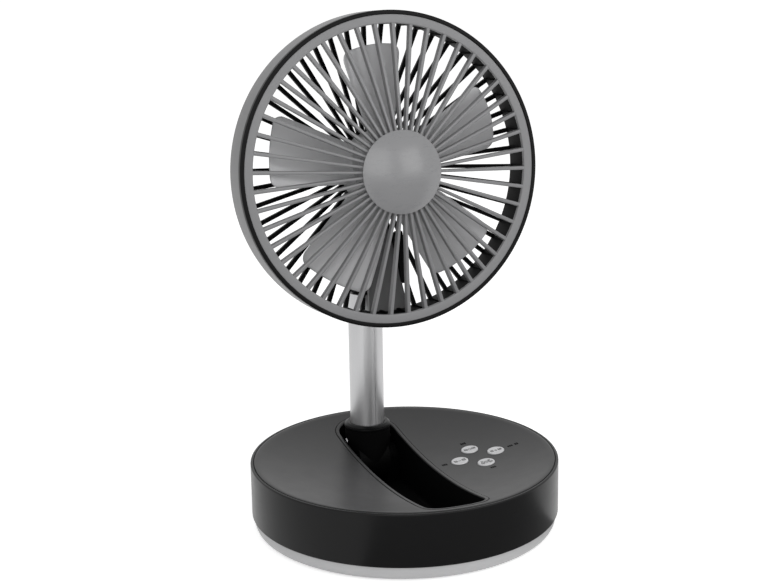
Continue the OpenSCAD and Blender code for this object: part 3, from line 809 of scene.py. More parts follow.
class Grower(NodeSet):
    """Builds a Geometry Nodes tree and runs it once."""

    def __init__(self, name: str) -> None:
        """Starts a tree with a geometry output.

        Args:
            name: the tree's name.
        """
        super().__init__(bpy.data.node_groups.new(name, "GeometryNodeTree"))
        self.tree.interface.new_socket("Geometry", in_out="OUTPUT",
                                       socket_type="NodeSocketGeometry")
        self.values: dict[str, object] = {}
        self.inputs = self.node("NodeGroupInput")

    def size(self, name: str, value: float | int) -> bpy.types.NodeSocket:
        """Adds a named input.

        Args:
            name: the input's name.
            value: its value; a whole number makes an integer input.

        Returns:
            The socket inside the tree.
        """
        kind = "NodeSocketInt" if isinstance(value, int) else "NodeSocketFloat"
        item = self.tree.interface.new_socket(name, in_out="INPUT", socket_type=kind)
        self.values[item.identifier] = value
        return self.inputs.outputs[name]

    def around(self, unit: bpy.types.Object, count: int, phase: float) -> bpy.types.Node:
        """Repeats a unit round the Z axis, turned with it.

        Args:
            unit: the object that repeats, drawn on the +X side.
            count: how many copies.
            phase: angle of the first copy, in radians.

        Returns:
            The node that carries the instances.
        """
        many, first = self.size("Count", count), self.size("Phase", phase)
        line = self.node("GeometryNodeMeshLine", {"mode": "OFFSET"},
                         {"Count": many, "Start Location": (0, 0, 0), "Offset": (0, 0, 0)})
        index = self.node("GeometryNodeInputIndex")
        whole = self.node("ShaderNodeMath", {"operation": "DIVIDE"}, {0: 2 * math.pi, 1: many})
        angle = self.node("ShaderNodeMath", {"operation": "MULTIPLY_ADD"},
                          {0: index, 1: whole, 2: first})
        turn = self.node("ShaderNodeCombineXYZ", None, {2: angle})
        source = self.node("GeometryNodeObjectInfo", {"transform_space": "ORIGINAL"},
                           {"Object": unit})
        return self.node("GeometryNodeInstanceOnPoints", None,
                         {"Points": line, "Instance": source.outputs["Geometry"],
                          "Rotation": turn})

    def run(self, name: str, result: bpy.types.Node, place: Matrix,
            material: bpy.types.Material) -> bpy.types.Object:
        """Ends the tree, evaluates it and keeps the mesh.

        Args:
            name: the new piece's name.
            result: the node whose first output is the geometry.
            place: where the result goes.
            material: what it is made of.

        Returns:
            The finished piece, without modifiers.
        """
        real = self.node("GeometryNodeRealizeInstances", None, {0: result})
        painted = self.node("GeometryNodeSetMaterial", None,
                            {"Geometry": real, "Material": material})
        self.node("NodeGroupOutput", None, {0: painted})
        host = Mill.mesh(name + "_host", [], [])
        modifier = host.modifiers.new("grow", "NODES")
        modifier.node_group = self.tree
        for identifier, value in self.values.items():
            modifier[identifier] = value
        bpy.context.view_layer.update()
        graph = bpy.context.evaluated_depsgraph_get()
        data = bpy.data.meshes.new_from_object(host.evaluated_get(graph))
        data.name = name
        data.transform(place)
        bpy.data.objects.remove(host)
        piece = bpy.data.objects.new(name, data)
        bpy.context.scene.collection.objects.link(piece)
        data.shade_smooth()
        data.set_sharp_from_angle(angle=math.radians(40))
        return piece


# --------------------------------------------------------------------------- frames


@dataclass(frozen=True)
class Frames:
    """Places of the moving sub-assemblies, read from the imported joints."""

    pivot: Vector
    head: Matrix
    foot: Vector
    pad: Matrix

    @staticmethod
    def read(joints: Sequence[dict]) -> "Frames":
        """Reads them from the frame.

        Args:
            joints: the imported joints.

        Returns:
            The places.
        """
        named = {joint["name"]: joint for joint in joints}
        spin, side, back = named["fan_spin"], Vector((1, 0, 0)), Vector((0, 1, 0))
        out = Vector(spin["axis"]).normalized()
        head = Matrix((side, out.cross(side), out)).transposed().to_4x4()
        head.translation = Vector(spin["pos_m"])
        press = Vector(named["power_press"]["axis"]).normalized()
        pad = Matrix((back.cross(press), back, press)).transposed().to_4x4()
        return Frames(Vector(named["head_tilt"]["pos_m"]), head,
                      Vector(named["pole_fold"]["pos_m"]), pad)


# --------------------------------------------------------------------------- base


@dataclass
class SlotPlan:
    """Plan of the trough: straight sides, a round end behind and an arc along the rim in front."""

    half: float = 19.3 * MM
    foot_y: float = 67 * MM
    front: float = 90.5 * MM
    corner: float = 9 * MM
    steps: int = 22

    def outline(self, offset: float) -> list[tuple[float, float]]:
        """Walks once round the plan, grown by an offset.

        Args:
            offset: growth, in metres.

        Returns:
            As many points for every offset, in the same order.
        """
        side = self.half - self.corner
        back = -math.sqrt((self.front - self.corner) ** 2 - side ** 2)
        lean = math.atan2(-back, side)
        points: list[tuple[float, float]] = []
        self._arc(points, (0, self.foot_y), self.half + offset, 0, math.pi, 2 * self.steps)
        self._line(points, (-self.half - offset, self.foot_y), (-self.half - offset, back))
        self._arc(points, (-side, back), self.corner + offset, math.pi, math.pi + lean, self.steps)
        self._arc(points, (0, 0), self.front + offset, math.pi + lean, 2 * math.pi - lean, self.steps)
        self._arc(points, (side, back), self.corner + offset, 2 * math.pi - lean, 2 * math.pi, self.steps)
        self._line(points, (self.half + offset, back), (self.half + offset, self.foot_y))
        return points

    @staticmethod
    def _arc(points: list[tuple[float, float]], centre: tuple[float, float], radius: float,
             start: float, end: float, steps: int) -> None:
        """Adds an arc without its last point.

        Args:
            points: the list that grows.
            centre: the arc's centre.
            radius: its radius.
            start: first angle.
            end: last angle.
            steps: points on it.
        """
        for i in range(steps):
            angle = start + (end - start) * i / steps
            points.append((centre[0] + radius * math.cos(angle), centre[1] + radius * math.sin(angle)))

    def _line(self, points: list[tuple[float, float]], start: tuple[float, float],
              end: tuple[float, float]) -> None:
        """Adds a straight run without its last point.

        Args:
            points: the list that grows.
            start: first point.
            end: last point.
        """
        count = 3 * self.steps
        for i in range(count):
            t = i / count
            points.append((start[0] + (end[0] - start[0]) * t, start[1] + (end[1] - start[1]) * t))


class Sign(Enum):
    """Sign on a key, by the key's place: right, back, left, front."""

    FASTER = 0
    POWER = 1
    SLOWER = 2
    TIMER = 3

    @property
    def node(self) -> str:
        """The cap's CAD node."""
        return self.name.lower() + "_button"

    @property
    def body(self) -> str:
        """The cap's body."""
        return self.name.lower() + "_key"


@dataclass
class Base:
    """The round battery base: wall, top, pan, trough and keys."""

    mill: Mill
    frames: Frames
    plan: SlotPlan = field(default_factory=SlotPlan)
    radius: float = 100 * MM
    rim: float = 45 * MM
    wall: float = 2.4 * MM
    wall_top: float = 1.9 * MM
    wall_drop: float = 0.15 * MM
    ledge: float = 3 * MM
    edge: float = 0.9 * MM
    seam: float = 10.5 * MM
    crest: float = 96 * MM
    dish_depth: float = 11.5 * MM
    panel_gap: float = 0.35 * MM
    flange: float = 2.5 * MM
    lip: float = 0.3 * MM
    shadow_gap: float = 0.45 * MM
    floor: float = 5.0 * MM
    tub_skin: float = 1.8 * MM
    cheek: float = 7.5 * MM
    key_radius: float = 5.7 * MM
    key_height: float = 0.6 * MM
    key_gap: float = 0.25 * MM
    socket_width: float = 8.9 * MM
    socket_tall: float = 3.2 * MM
    socket_gap: float = 0.3 * MM
    socket_up: float = 24 * MM
    socket_turn: float = math.radians(45)
    pan_radius: float = 98.4 * MM
    pan_collar: float = 97.5 * MM
    pan_inside: float = 95.3 * MM
    pan_top: float = 13.5 * MM
    pan_low: float = 1.0 * MM
    pan_floor: float = 3.2 * MM
    pan_round: float = 6 * MM

    def dish(self, x: float, y: float = 0.0) -> float:
        """Height of the dished top.

        Args:
            x: sideways place.
            y: lengthways place.

        Returns:
            The height.
        """
        return self.rim - self.dish_depth * (1 - (x * x + y * y) / self.crest ** 2)

    def build(self) -> None:
        """Builds and dresses every piece of the base."""
        self.outer_wall()
        self.top_panel()
        self.pan()
        self.trough()
        Keys(self.mill, self).build()

    def outer_wall(self) -> None:
        """The black wall ring, cut for the charging socket."""
        inner, step = self.radius - self.wall, self.radius - self.wall_top
        high = self.rim - self.wall_drop
        outline = Mill.rounded([(inner, self.seam), (self.radius, self.seam), (self.radius, high),
                                (step, high), (step, high - self.ledge),
                                (inner, high - self.ledge)],
                               {1: 0.5 * MM, 2: self.edge, 3: 0.4 * MM}, 6)
        piece = self.mill.lathe("base_wall", outline, BIG_ROUND)
        self.mill.cut(piece, [self.socket_cutter()])
        Mill.tidy(piece, 1e-6, 25)
        self.mill.dress(piece, "wall_black", "base", ["base_shell"], "black_shell")

    def top_panel(self) -> None:
        """The dished top with its small rim and its lip, cut for the trough and the keys."""
        edge, rim = self.radius - self.wall_top - self.panel_gap, self.rim
        lip_out = self.radius - self.wall - 0.1 * MM
        lip_in = self.radius - self.wall - 1.9 * MM
        shelf, end, spans = rim - 2.6 * MM, rim - 5 * MM, 40
        top = [(self.crest * i / spans, self.dish(self.crest * i / spans))
               for i in range(spans + 1)]
        turn = [(edge - 0.5 * MM, rim), (edge - 0.14 * MM, rim - 0.14 * MM),
                (edge, rim - 0.5 * MM), (edge, shelf)]
        lip = [(lip_out, shelf), (lip_out, end), (lip_in, end)]
        under = [(lip_in * i / spans, self.dish(lip_in * i / spans) - self.wall)
                 for i in range(spans, -1, -1)]
        piece = self.mill.lathe("base_top", top + turn + lip + under, BIG_ROUND)
        mouth = self.plan.outline(self.flange + self.shadow_gap)
        tools = [Mill.loft("slot_cutter", [[(x, y, z) for x, y in mouth]
                                           for z in (5 * MM, 60 * MM)])]
        tools += [self.mill.plug("key_cutter", self.key_radius + self.key_gap, -6 * MM, 6 * MM,
                                 64, self.key_frame(sign)) for sign in Sign]
        self.mill.cut(piece, tools)
        Mill.tidy(piece, 1e-6, 25)
        self.mill.dress(piece, "panel_grey", "base", ["dish_panel"], "dark_panel")

    def key_frame(self, sign: Sign) -> Matrix:
        """Frame of one key: +Z out of the dish, origin on it.

        Args:
            sign: which key.

        Returns:
            The frame.
        """
        low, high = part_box(sign.node)
        place = self.frames.pad.copy()
        middle, out = (low + high) / 2, place.col[2].to_3d()
        top = self.dish(middle.x, middle.y)
        place.translation = middle + out * ((top - middle.z) / out.z)
        return place

    def socket_cutter(self) -> bpy.types.Object:
        """Cutting shape for the charging socket behind on the right."""
        half = self.socket_width / 2 + self.socket_gap
        r = self.socket_tall / 2 + self.socket_gap
        shape = [(side * (half - r + r * math.cos(a)), side * r * math.sin(a))
                 for side in (1, -1) for a in np.linspace(-math.pi / 2, math.pi / 2, 16)]
        turn = Matrix.Rotation(self.socket_turn, 4, "Z")
        rings = [[turn @ Vector((x, y, z + self.socket_up)) for y, z in shape]
                 for x in (92 * MM, 104 * MM)]
        return Mill.loft("socket_cutter", rings)

    def pan(self) -> None:
        """The pale pan under the wall, cut for its screws and its feet."""
        out, low, inside = self.pan_radius, self.pan_low, self.pan_inside
        outline = [(0, low), (out - self.pan_round, low), (out, low), (out, self.seam),
                   (self.pan_collar, self.seam), (self.pan_collar, self.pan_top),
                   (inside, self.pan_top), (inside, self.pan_floor), (0, self.pan_floor)]
        rounded = Mill.rounded(outline, {2: self.pan_round, 3: 0.3 * MM, 7: 3.5 * MM}, 12)
        piece = self.mill.lathe("base_pan", rounded, BIG_ROUND)
        cutters = []
        for name, angles, reach, radius, deep, steps in (
                ("screw_cutter", (35, 145, 215, 325), 84 * MM, 3.1 * MM, 3.0 * MM, 32),
                ("pad_cutter", (50, 130, 230, 310), 77 * MM, 7.1 * MM, 1.75 * MM, 48)):
            for angle in angles:
                spot = (Matrix.Rotation(math.radians(angle), 4, "Z")
                        @ Matrix.Translation((reach, 0, 0)))
                cutters.append(self.mill.plug(name, radius, 0, deep, steps, spot))
        self.mill.cut(piece, cutters)
        Mill.tidy(piece)
        self.mill.dress(piece, "pan_grey", "base", ["bottom_pan"], "pale_plastic")

    def trough(self) -> None:
        """The black tub, the flange that frames its mouth, and the cheeks at the foot pin."""
        deep, skin, lip, seat = self.floor, self.tub_skin, self.lip, self.lip - 1.0 * MM
        tub = [(-2.2 * MM, deep, False), (-0.9 * MM, deep + 0.45 * MM, False),
               (-0.2 * MM, deep + 1.6 * MM, False), (0.0, deep + 3.0 * MM, False),
               (0.0, seat - 0.02 * MM, True), (skin, seat - 0.02 * MM, True),
               (skin, deep - skin, False)]
        # The tub's near-black finish is partly painted shade for the inside of the trough.
        piece = self.along_slot("pole_trough", tub, False)
        self.mill.dress(piece, "deep_black", "base", ["slot_trough"], "black_plastic")
        inner, outer, foot = skin + 0.05 * MM, self.flange, -1.6 * MM
        frame = [(0.0, seat), (0.05 * MM, seat + 0.45 * MM), (0.3 * MM, lip - 0.12 * MM),
                 (0.75 * MM, lip), (outer - 0.5 * MM, lip), (outer - 0.12 * MM, lip - 0.1 * MM),
                 (outer, lip - 0.4 * MM), (outer, foot), (inner, foot), (inner, seat)]
        piece = self.along_slot("trough_flange", [(*line, True) for line in frame], True)
        self.mill.dress(piece, "panel_grey", "base", ["slot_trough"], "dark_panel")
        self.cheeks()

    def along_slot(self, name: str, section: Sequence[tuple[float, float, bool]],
                   closed: bool) -> bpy.types.Object:
        """Carries a section round the trough's plan.

        Args:
            name: the piece's name.
            section: how far outside the plan each line runs, its height, and whether that is
                counted from the dish.
            closed: the last line joins the first; else both are filled by a flat face.

        Returns:
            The piece.
        """
        rings = [[(x, y, height + (self.dish(x, y) if on_dish else 0.0))
                  for x, y in self.plan.outline(offset)] for offset, height, on_dish in section]
        return Mill.loft(name, rings, closed, 1e-7, 40)

    def cheeks(self) -> None:
        """Two blocks on the trough's floor, one at each end of the foot pin."""
        inside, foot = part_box("foot_washers")[1].x + 0.15 * MM, self.frames.foot
        profile = [(self.cheek * math.cos(a), foot.z + self.cheek * math.sin(a))
                   for a in np.linspace(0, math.pi, 25)]
        profile += [(-self.cheek, self.floor - 0.5 * MM), (self.cheek, self.floor - 0.5 * MM)]
        for side, name in ((-1, "cheek_left"), (1, "cheek_right")):
            piece = Mill.loft(name, [[(side * x, foot.y + y, z) for y, z in profile]
                                     for x in (inside, self.plan.half + 0.4 * MM)])
            self.mill.soften(piece, 0.4 * MM, 2, 30)
            self.mill.dress(piece, "deep_black", "base", ["slot_trough"], "black_plastic")


@dataclass
class Keys:
    """Four round keys with plain pictograms, and the printed marks beside them."""

    mill: Mill
    base: Base
    fine: float = 0.55 * MM
    broad: float = 0.62 * MM
    raise_by: float = 0.03 * MM
    ink_thick: float = 0.05 * MM
    hollow_share: float = 0.82
    hollow_depth: float = 0.3 * MM

    def build(self) -> None:
        """Builds every key, its pictogram and its mark."""
        for sign in Sign:
            self.cap(sign)
            self.pictogram(sign)
            self.mark(sign)

    def cap(self, sign: Sign) -> None:
        """One cap with a finger hollow.

        Args:
            sign: which key.
        """
        r, h, spans = self.base.key_radius, self.base.key_height, 10
        stem, brim = 1.8 * MM, r + 0.9 * MM
        shares = [1 - i / spans for i in range(spans + 1)]
        hollow = [(r * self.hollow_share * share, h - self.hollow_depth * (1 - share ** 2))
                  for share in shares]
        outline = [(0, -8.0 * MM), (stem, -8.0 * MM), (stem, -3.6 * MM), (brim, -3.6 * MM),
                   (brim, -2.7 * MM), (r, -2.7 * MM), (r, h - 0.55 * MM),
                   (r - 0.1 * MM, h - 0.25 * MM), (r - 0.3 * MM, h - 0.06 * MM),
                   (r - 0.6 * MM, h)] + hollow
        piece = self.mill.lathe("key_" + sign.name.lower(), outline, 96, self.base.key_frame(sign))
        self.mill.dress(piece, "key_grey", sign.body, [sign.node], "key_plastic")

    def height(self, x: float, y: float) -> float:
        """Height of the finger hollow over the key's own plane.

        Args:
            x: place across the key.
            y: place along the key.

        Returns:
            The height.
        """
        share = min(1.0, math.hypot(x, y) / (self.base.key_radius * self.hollow_share))
        return self.base.key_height - self.hollow_depth * (1 - share ** 2)

    @staticmethod
    def strip(path: Sequence[tuple[float, float]], width: float, closed: bool) -> tuple[list, list]:
        """A flat band along a path.

        Args:
            path: the band's middle line.
            width: the band's width.
            closed: whether it joins up.

        Returns:
            Edge points on both sides, and the faces between them.
        """
        n = len(path)
        edges, faces = [], []
        for i, (x, y) in enumerate(path):
            before = path[i - 1] if closed or i else path[0]
            after = path[(i + 1) % n] if closed or i < n - 1 else path[-1]
            along = (Vector(after) - Vector(before)).normalized()
            side = Vector((-along.y, along.x)) * width / 2
            edges += [(x + side.x, y + side.y), (x - side.x, y - side.y)]
        for i in range(n if closed else n - 1):
            a, b = 2 * i, 2 * ((i + 1) % n)
            faces.append((a, a + 1, b + 1, b))
        return edges, faces

    def paths(self, sign: Sign) -> list[tuple[list[tuple[float, float]], float, bool]]:
        """Lines that a pictogram is drawn with: a small sign between two groups of upright bars.

        Args:
            sign: which key.

        Returns:
            Each line's points, its width and whether it closes.
        """

        def arc(radius: float, first: float, last: float, steps: int = 24) -> list:
            """Points of an arc."""
            turns = [math.radians(first + (last - first) * i / steps) for i in range(steps + 1)]
            return [(radius * math.cos(turn), radius * math.sin(turn)) for turn in turns]

        def bar(ax: float, ay: float, bx: float, by: float) -> list:
            """Points of a straight stroke."""
            return [(ax + (bx - ax) * i / 4, ay + (by - ay) * i / 4) for i in range(5)]

        unit, start, pitch = 1.2 * MM, 2.0 * MM, 0.85 * MM
        timer = sign is Sign.TIMER
        half = (1.0 if timer else 1.4) * MM
        lines = []
        for side in (-1, 1):
            for y in (-1.35 * MM, 1.35 * MM) if timer else (0.0,):
                for k in range(2 if y > 0 else 3):
                    x = side * (start + k * pitch)
                    lines.append((bar(x, y - half, x, y + half), self.broad, False))
        across = (bar(-unit, 0, unit, 0), self.fine, False)
        lines += {
            Sign.POWER: [(arc(unit, 125, 415), self.fine, False),
                         (bar(0, 0.3 * unit, 0, 1.25 * unit), self.fine, False)],
            Sign.TIMER: [(arc(1.15 * unit, 0, 345, 36), self.fine, True),
                         (bar(0, 0, 0, 0.7 * unit), self.fine, False),
                         (bar(0, 0, 0.5 * unit, 0), self.fine, False)],
            Sign.SLOWER: [across],
            Sign.FASTER: [across, (bar(0, 0.22 * unit, 0, unit), self.fine, False),
                          (bar(0, -unit, 0, -0.22 * unit), self.fine, False)],
        }[sign]
        return lines

    def pictogram(self, sign: Sign) -> None:
        """The printed sign of a key.

        Args:
            sign: which key.
        """
        place = self.base.key_frame(sign)
        points, faces = [], []
        for path, width, closed in self.paths(sign):
            edges, bands = self.strip(path, width, closed)
            start = len(points)
            points += [place @ Vector((x, y, self.height(x, y) + self.raise_by)) for x, y in edges]
            faces += [tuple(start + k for k in band) for band in bands]
        self.print_on(Mill.mesh("sign_" + sign.name.lower(), points, faces), "ink_grey", sign.body)

    def mark(self, sign: Sign) -> None:
        """A row of small printed bars on the dish, outward of a key.

        Args:
            sign: which key.
        """
        key = self.base.key_frame(sign).translation
        reach = 12.4 * MM if sign is Sign.FASTER else 10.9 * MM
        middle = key.to_2d() + Matrix.Rotation(math.pi / 2 * sign.value, 2) @ Vector((reach, 0))
        heights = {Sign.FASTER: (2.0, 2.3, 2.2, 0.0, 2.8, 2.8), Sign.POWER: (3.0, 2.2, 3.0),
                   Sign.SLOWER: (2.3, 2.6, 2.8), Sign.TIMER: (2.6, 2.6, 2.6)}[sign]
        pitch, half = 1.3 * MM, 0.55 * MM
        points, faces = [], []
        for i, tall in enumerate(heights):
            if not tall:
                continue
            x, rise = middle.x + (i - (len(heights) - 1) / 2) * pitch, tall * MM / 2
            corners = [(x - half, middle.y - rise), (x + half, middle.y - rise),
                       (x + half, middle.y + rise), (x - half, middle.y + rise)]
            start = len(points)
            points += [(u, v, self.base.dish(u, v) + self.raise_by) for u, v in corners]
            faces.append(tuple(range(start, start + 4)))
        self.print_on(Mill.mesh("mark_" + sign.name.lower(), points, faces), "ink_black", "base")

    def print_on(self, piece: bpy.types.Object, ink: str, body: str) -> None:
        """Gives printed ink its thickness and finish.

        Args:
            piece: flat faces.
            ink: a palette name.
            body: what carries it.
        """
        solid = piece.modifiers.new("ink", "SOLIDIFY")
        solid.thickness, solid.offset = self.ink_thick, -1.0
        self.mill.apply(piece)
        Mill.tidy(piece, 1e-8)
        self.mill.dress(piece, ink, body, (), "black_plastic")


# --------------------------------------------------------------------------- pole


@dataclass
class Pole:
    """The tubes with their key groove, the collar and the foot's screws."""

    mill: Mill
    frames: Frames
    groove_turn: float = math.radians(-84)
    groove_half: float = 0.9 * MM
    groove_depth: float = 0.35 * MM
    tube_wall: float = 0.9 * MM
    mouth_wall: float = 1.54 * MM
    collar_bore: float = 11.72 * MM
    screw_dome: float = 1.6 * MM

    def build(self) -> None:
        """Builds and dresses the tubes, the collar and the screws."""
        for name, node, body in (("tube_outer", "outer_tube", "pole"),
                                 ("tube_second", "second_tube", "tube_2"),
                                 ("tube_third", "third_tube", "tube_3"),
                                 ("tube_inner", "inner_tube", "tube_4")):
            self.tube(name, node, body)
        self.collar()
        self.screws()

    def section(self, radius: float) -> Profile:
        """Outline of a tube's cross-section with its key groove.

        Args:
            radius: the tube's radius.

        Returns:
            Points round the tube.
        """
        half, deep, whole = self.groove_half / radius, radius - self.groove_depth, 2 * math.pi
        turns = [whole * i / SMALL_ROUND for i in range(SMALL_ROUND)]
        plain = [(radius, turn) for turn in turns if min(turn, whole - turn) > half * 1.35]
        shape = [(radius, -1.22), (radius - 0.06 * MM, -1.08), (deep + 0.04 * MM, -0.94),
                 (deep, -0.8), (deep, 0.0), (deep, 0.8), (deep + 0.04 * MM, 0.94),
                 (radius - 0.06 * MM, 1.08), (radius, 1.22)]
        groove = [(r, t * half) for r, t in shape]
        return [(r * math.cos(t + self.groove_turn), r * math.sin(t + self.groove_turn))
                for r, t in groove[4:] + plain + groove[:4]]

    def tube(self, name: str, node: str, body: str) -> None:
        """One tube with its rolled mouth.

        Args:
            name: the piece's name.
            node: the CAD tube.
            body: what carries it.
        """
        low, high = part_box(node)
        radius, base, top = (high.x - low.x) / 2, low.z, high.z
        bore = radius - self.tube_wall
        mouth = bore if node == "inner_tube" else radius - self.mouth_wall
        lines = [(radius - 0.15 * MM, base, True), (radius, base + 0.2 * MM, True),
                 (radius, top - 0.7 * MM, True), (radius - 0.12 * MM, top - 0.28 * MM, True),
                 (radius - 0.45 * MM, top, False), (mouth, top, False),
                 (mouth, top - 2 * MM, False), (bore, top - 2.4 * MM, False), (bore, base, False)]
        rings = [[(x, self.frames.foot.y + y, z) for x, y in self.ring(radius, r, grooved)]
                 for r, z, grooved in lines]
        piece = Mill.loft(name, rings, True, 1e-8, 28)
        self.mill.dress(piece, "tube_chrome", body, [node], "tube_metal")

    def ring(self, nominal: float, radius: float, grooved: bool) -> Profile:
        """A cross-section with the same number of points at any radius.

        Args:
            nominal: the tube's own radius, which fixes the points' angles.
            radius: the ring's radius.
            grooved: whether the groove shows.

        Returns:
            The points.
        """
        out = []
        for x, y in self.section(nominal):
            reach = math.hypot(x, y)
            keep = reach - nominal if grooved else 0.0
            out.append((x / reach * (radius + keep), y / reach * (radius + keep)))
        return out

    def collar(self) -> None:
        """The stepped collar that closes the foot round the tube."""
        low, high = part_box("pole_collar")
        r, base, bore = (high.x - low.x) / 2, low.z, self.collar_bore
        corners = [(bore, 0.0), (r - 0.5 * MM, 0.0), (r, 0.5 * MM), (r, 1.8 * MM),
                   (r - 0.5 * MM, 1.9 * MM), (r - 0.5 * MM, 2.2 * MM), (r - 0.2 * MM, 2.4 * MM),
                   (r - 2.0 * MM, 3.6 * MM), (bore + 0.3 * MM, 3.6 * MM), (bore, 3.3 * MM)]
        outline = Mill.rounded([(x, base + z) for x, z in corners],
                               {2: 0.25 * MM, 3: 0.2 * MM, 6: 0.15 * MM, 7: 0.4 * MM}, 4)
        place = Matrix.Translation((0, self.frames.foot.y, 0))
        piece = self.mill.lathe("collar_ring", outline, SMALL_ROUND, place)
        self.mill.dress(piece, "collar_black", "pole", ["pole_collar"], "black_plastic")

    def screws(self) -> None:
        """The two dome-headed screws in the foot's sides, with a cross recess."""
        low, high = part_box("foot_screws")
        r, tall, rim = (high.z - low.z) / 2, self.screw_dome, 0.35 * MM
        long, thin = 1.25 * MM, 0.27 * MM
        dome = [(r * math.cos(a), rim + (tall - rim) * math.sin(a))
                for a in np.linspace(0, math.pi / 2, 9)[:-1]]
        cross = [[(-long, -thin, z), (long, -thin, z), (long, thin, z), (-long, thin, z)]
                 for z in (0.75 * MM, 2.4 * MM)]
        for side, name in ((-1, "foot_screw_left"), (1, "foot_screw_right")):
            spot = (side * (high.x - tall), self.frames.foot.y, (low.z + high.z) / 2)
            place = Matrix.Translation(spot) @ Matrix.Rotation(side * math.pi / 2, 4, "Y")
            piece = self.mill.lathe(name, [(0, 0), (r, 0)] + dome + [(0, tall)], 48, place)
            tools = []
            for turn in (math.radians(20), math.radians(110)):
                tool = Mill.loft("cross_cutter", cross)
                tool.data.transform(place @ Matrix.Rotation(turn, 4, "Z"))
                tools.append(tool)
            self.mill.cut(piece, tools)
            Mill.tidy(piece, 1e-7, 35)
            self.mill.dress(piece, "steel", "pole", ["foot_screws"], "steel")


# --------------------------------------------------------------------------- head


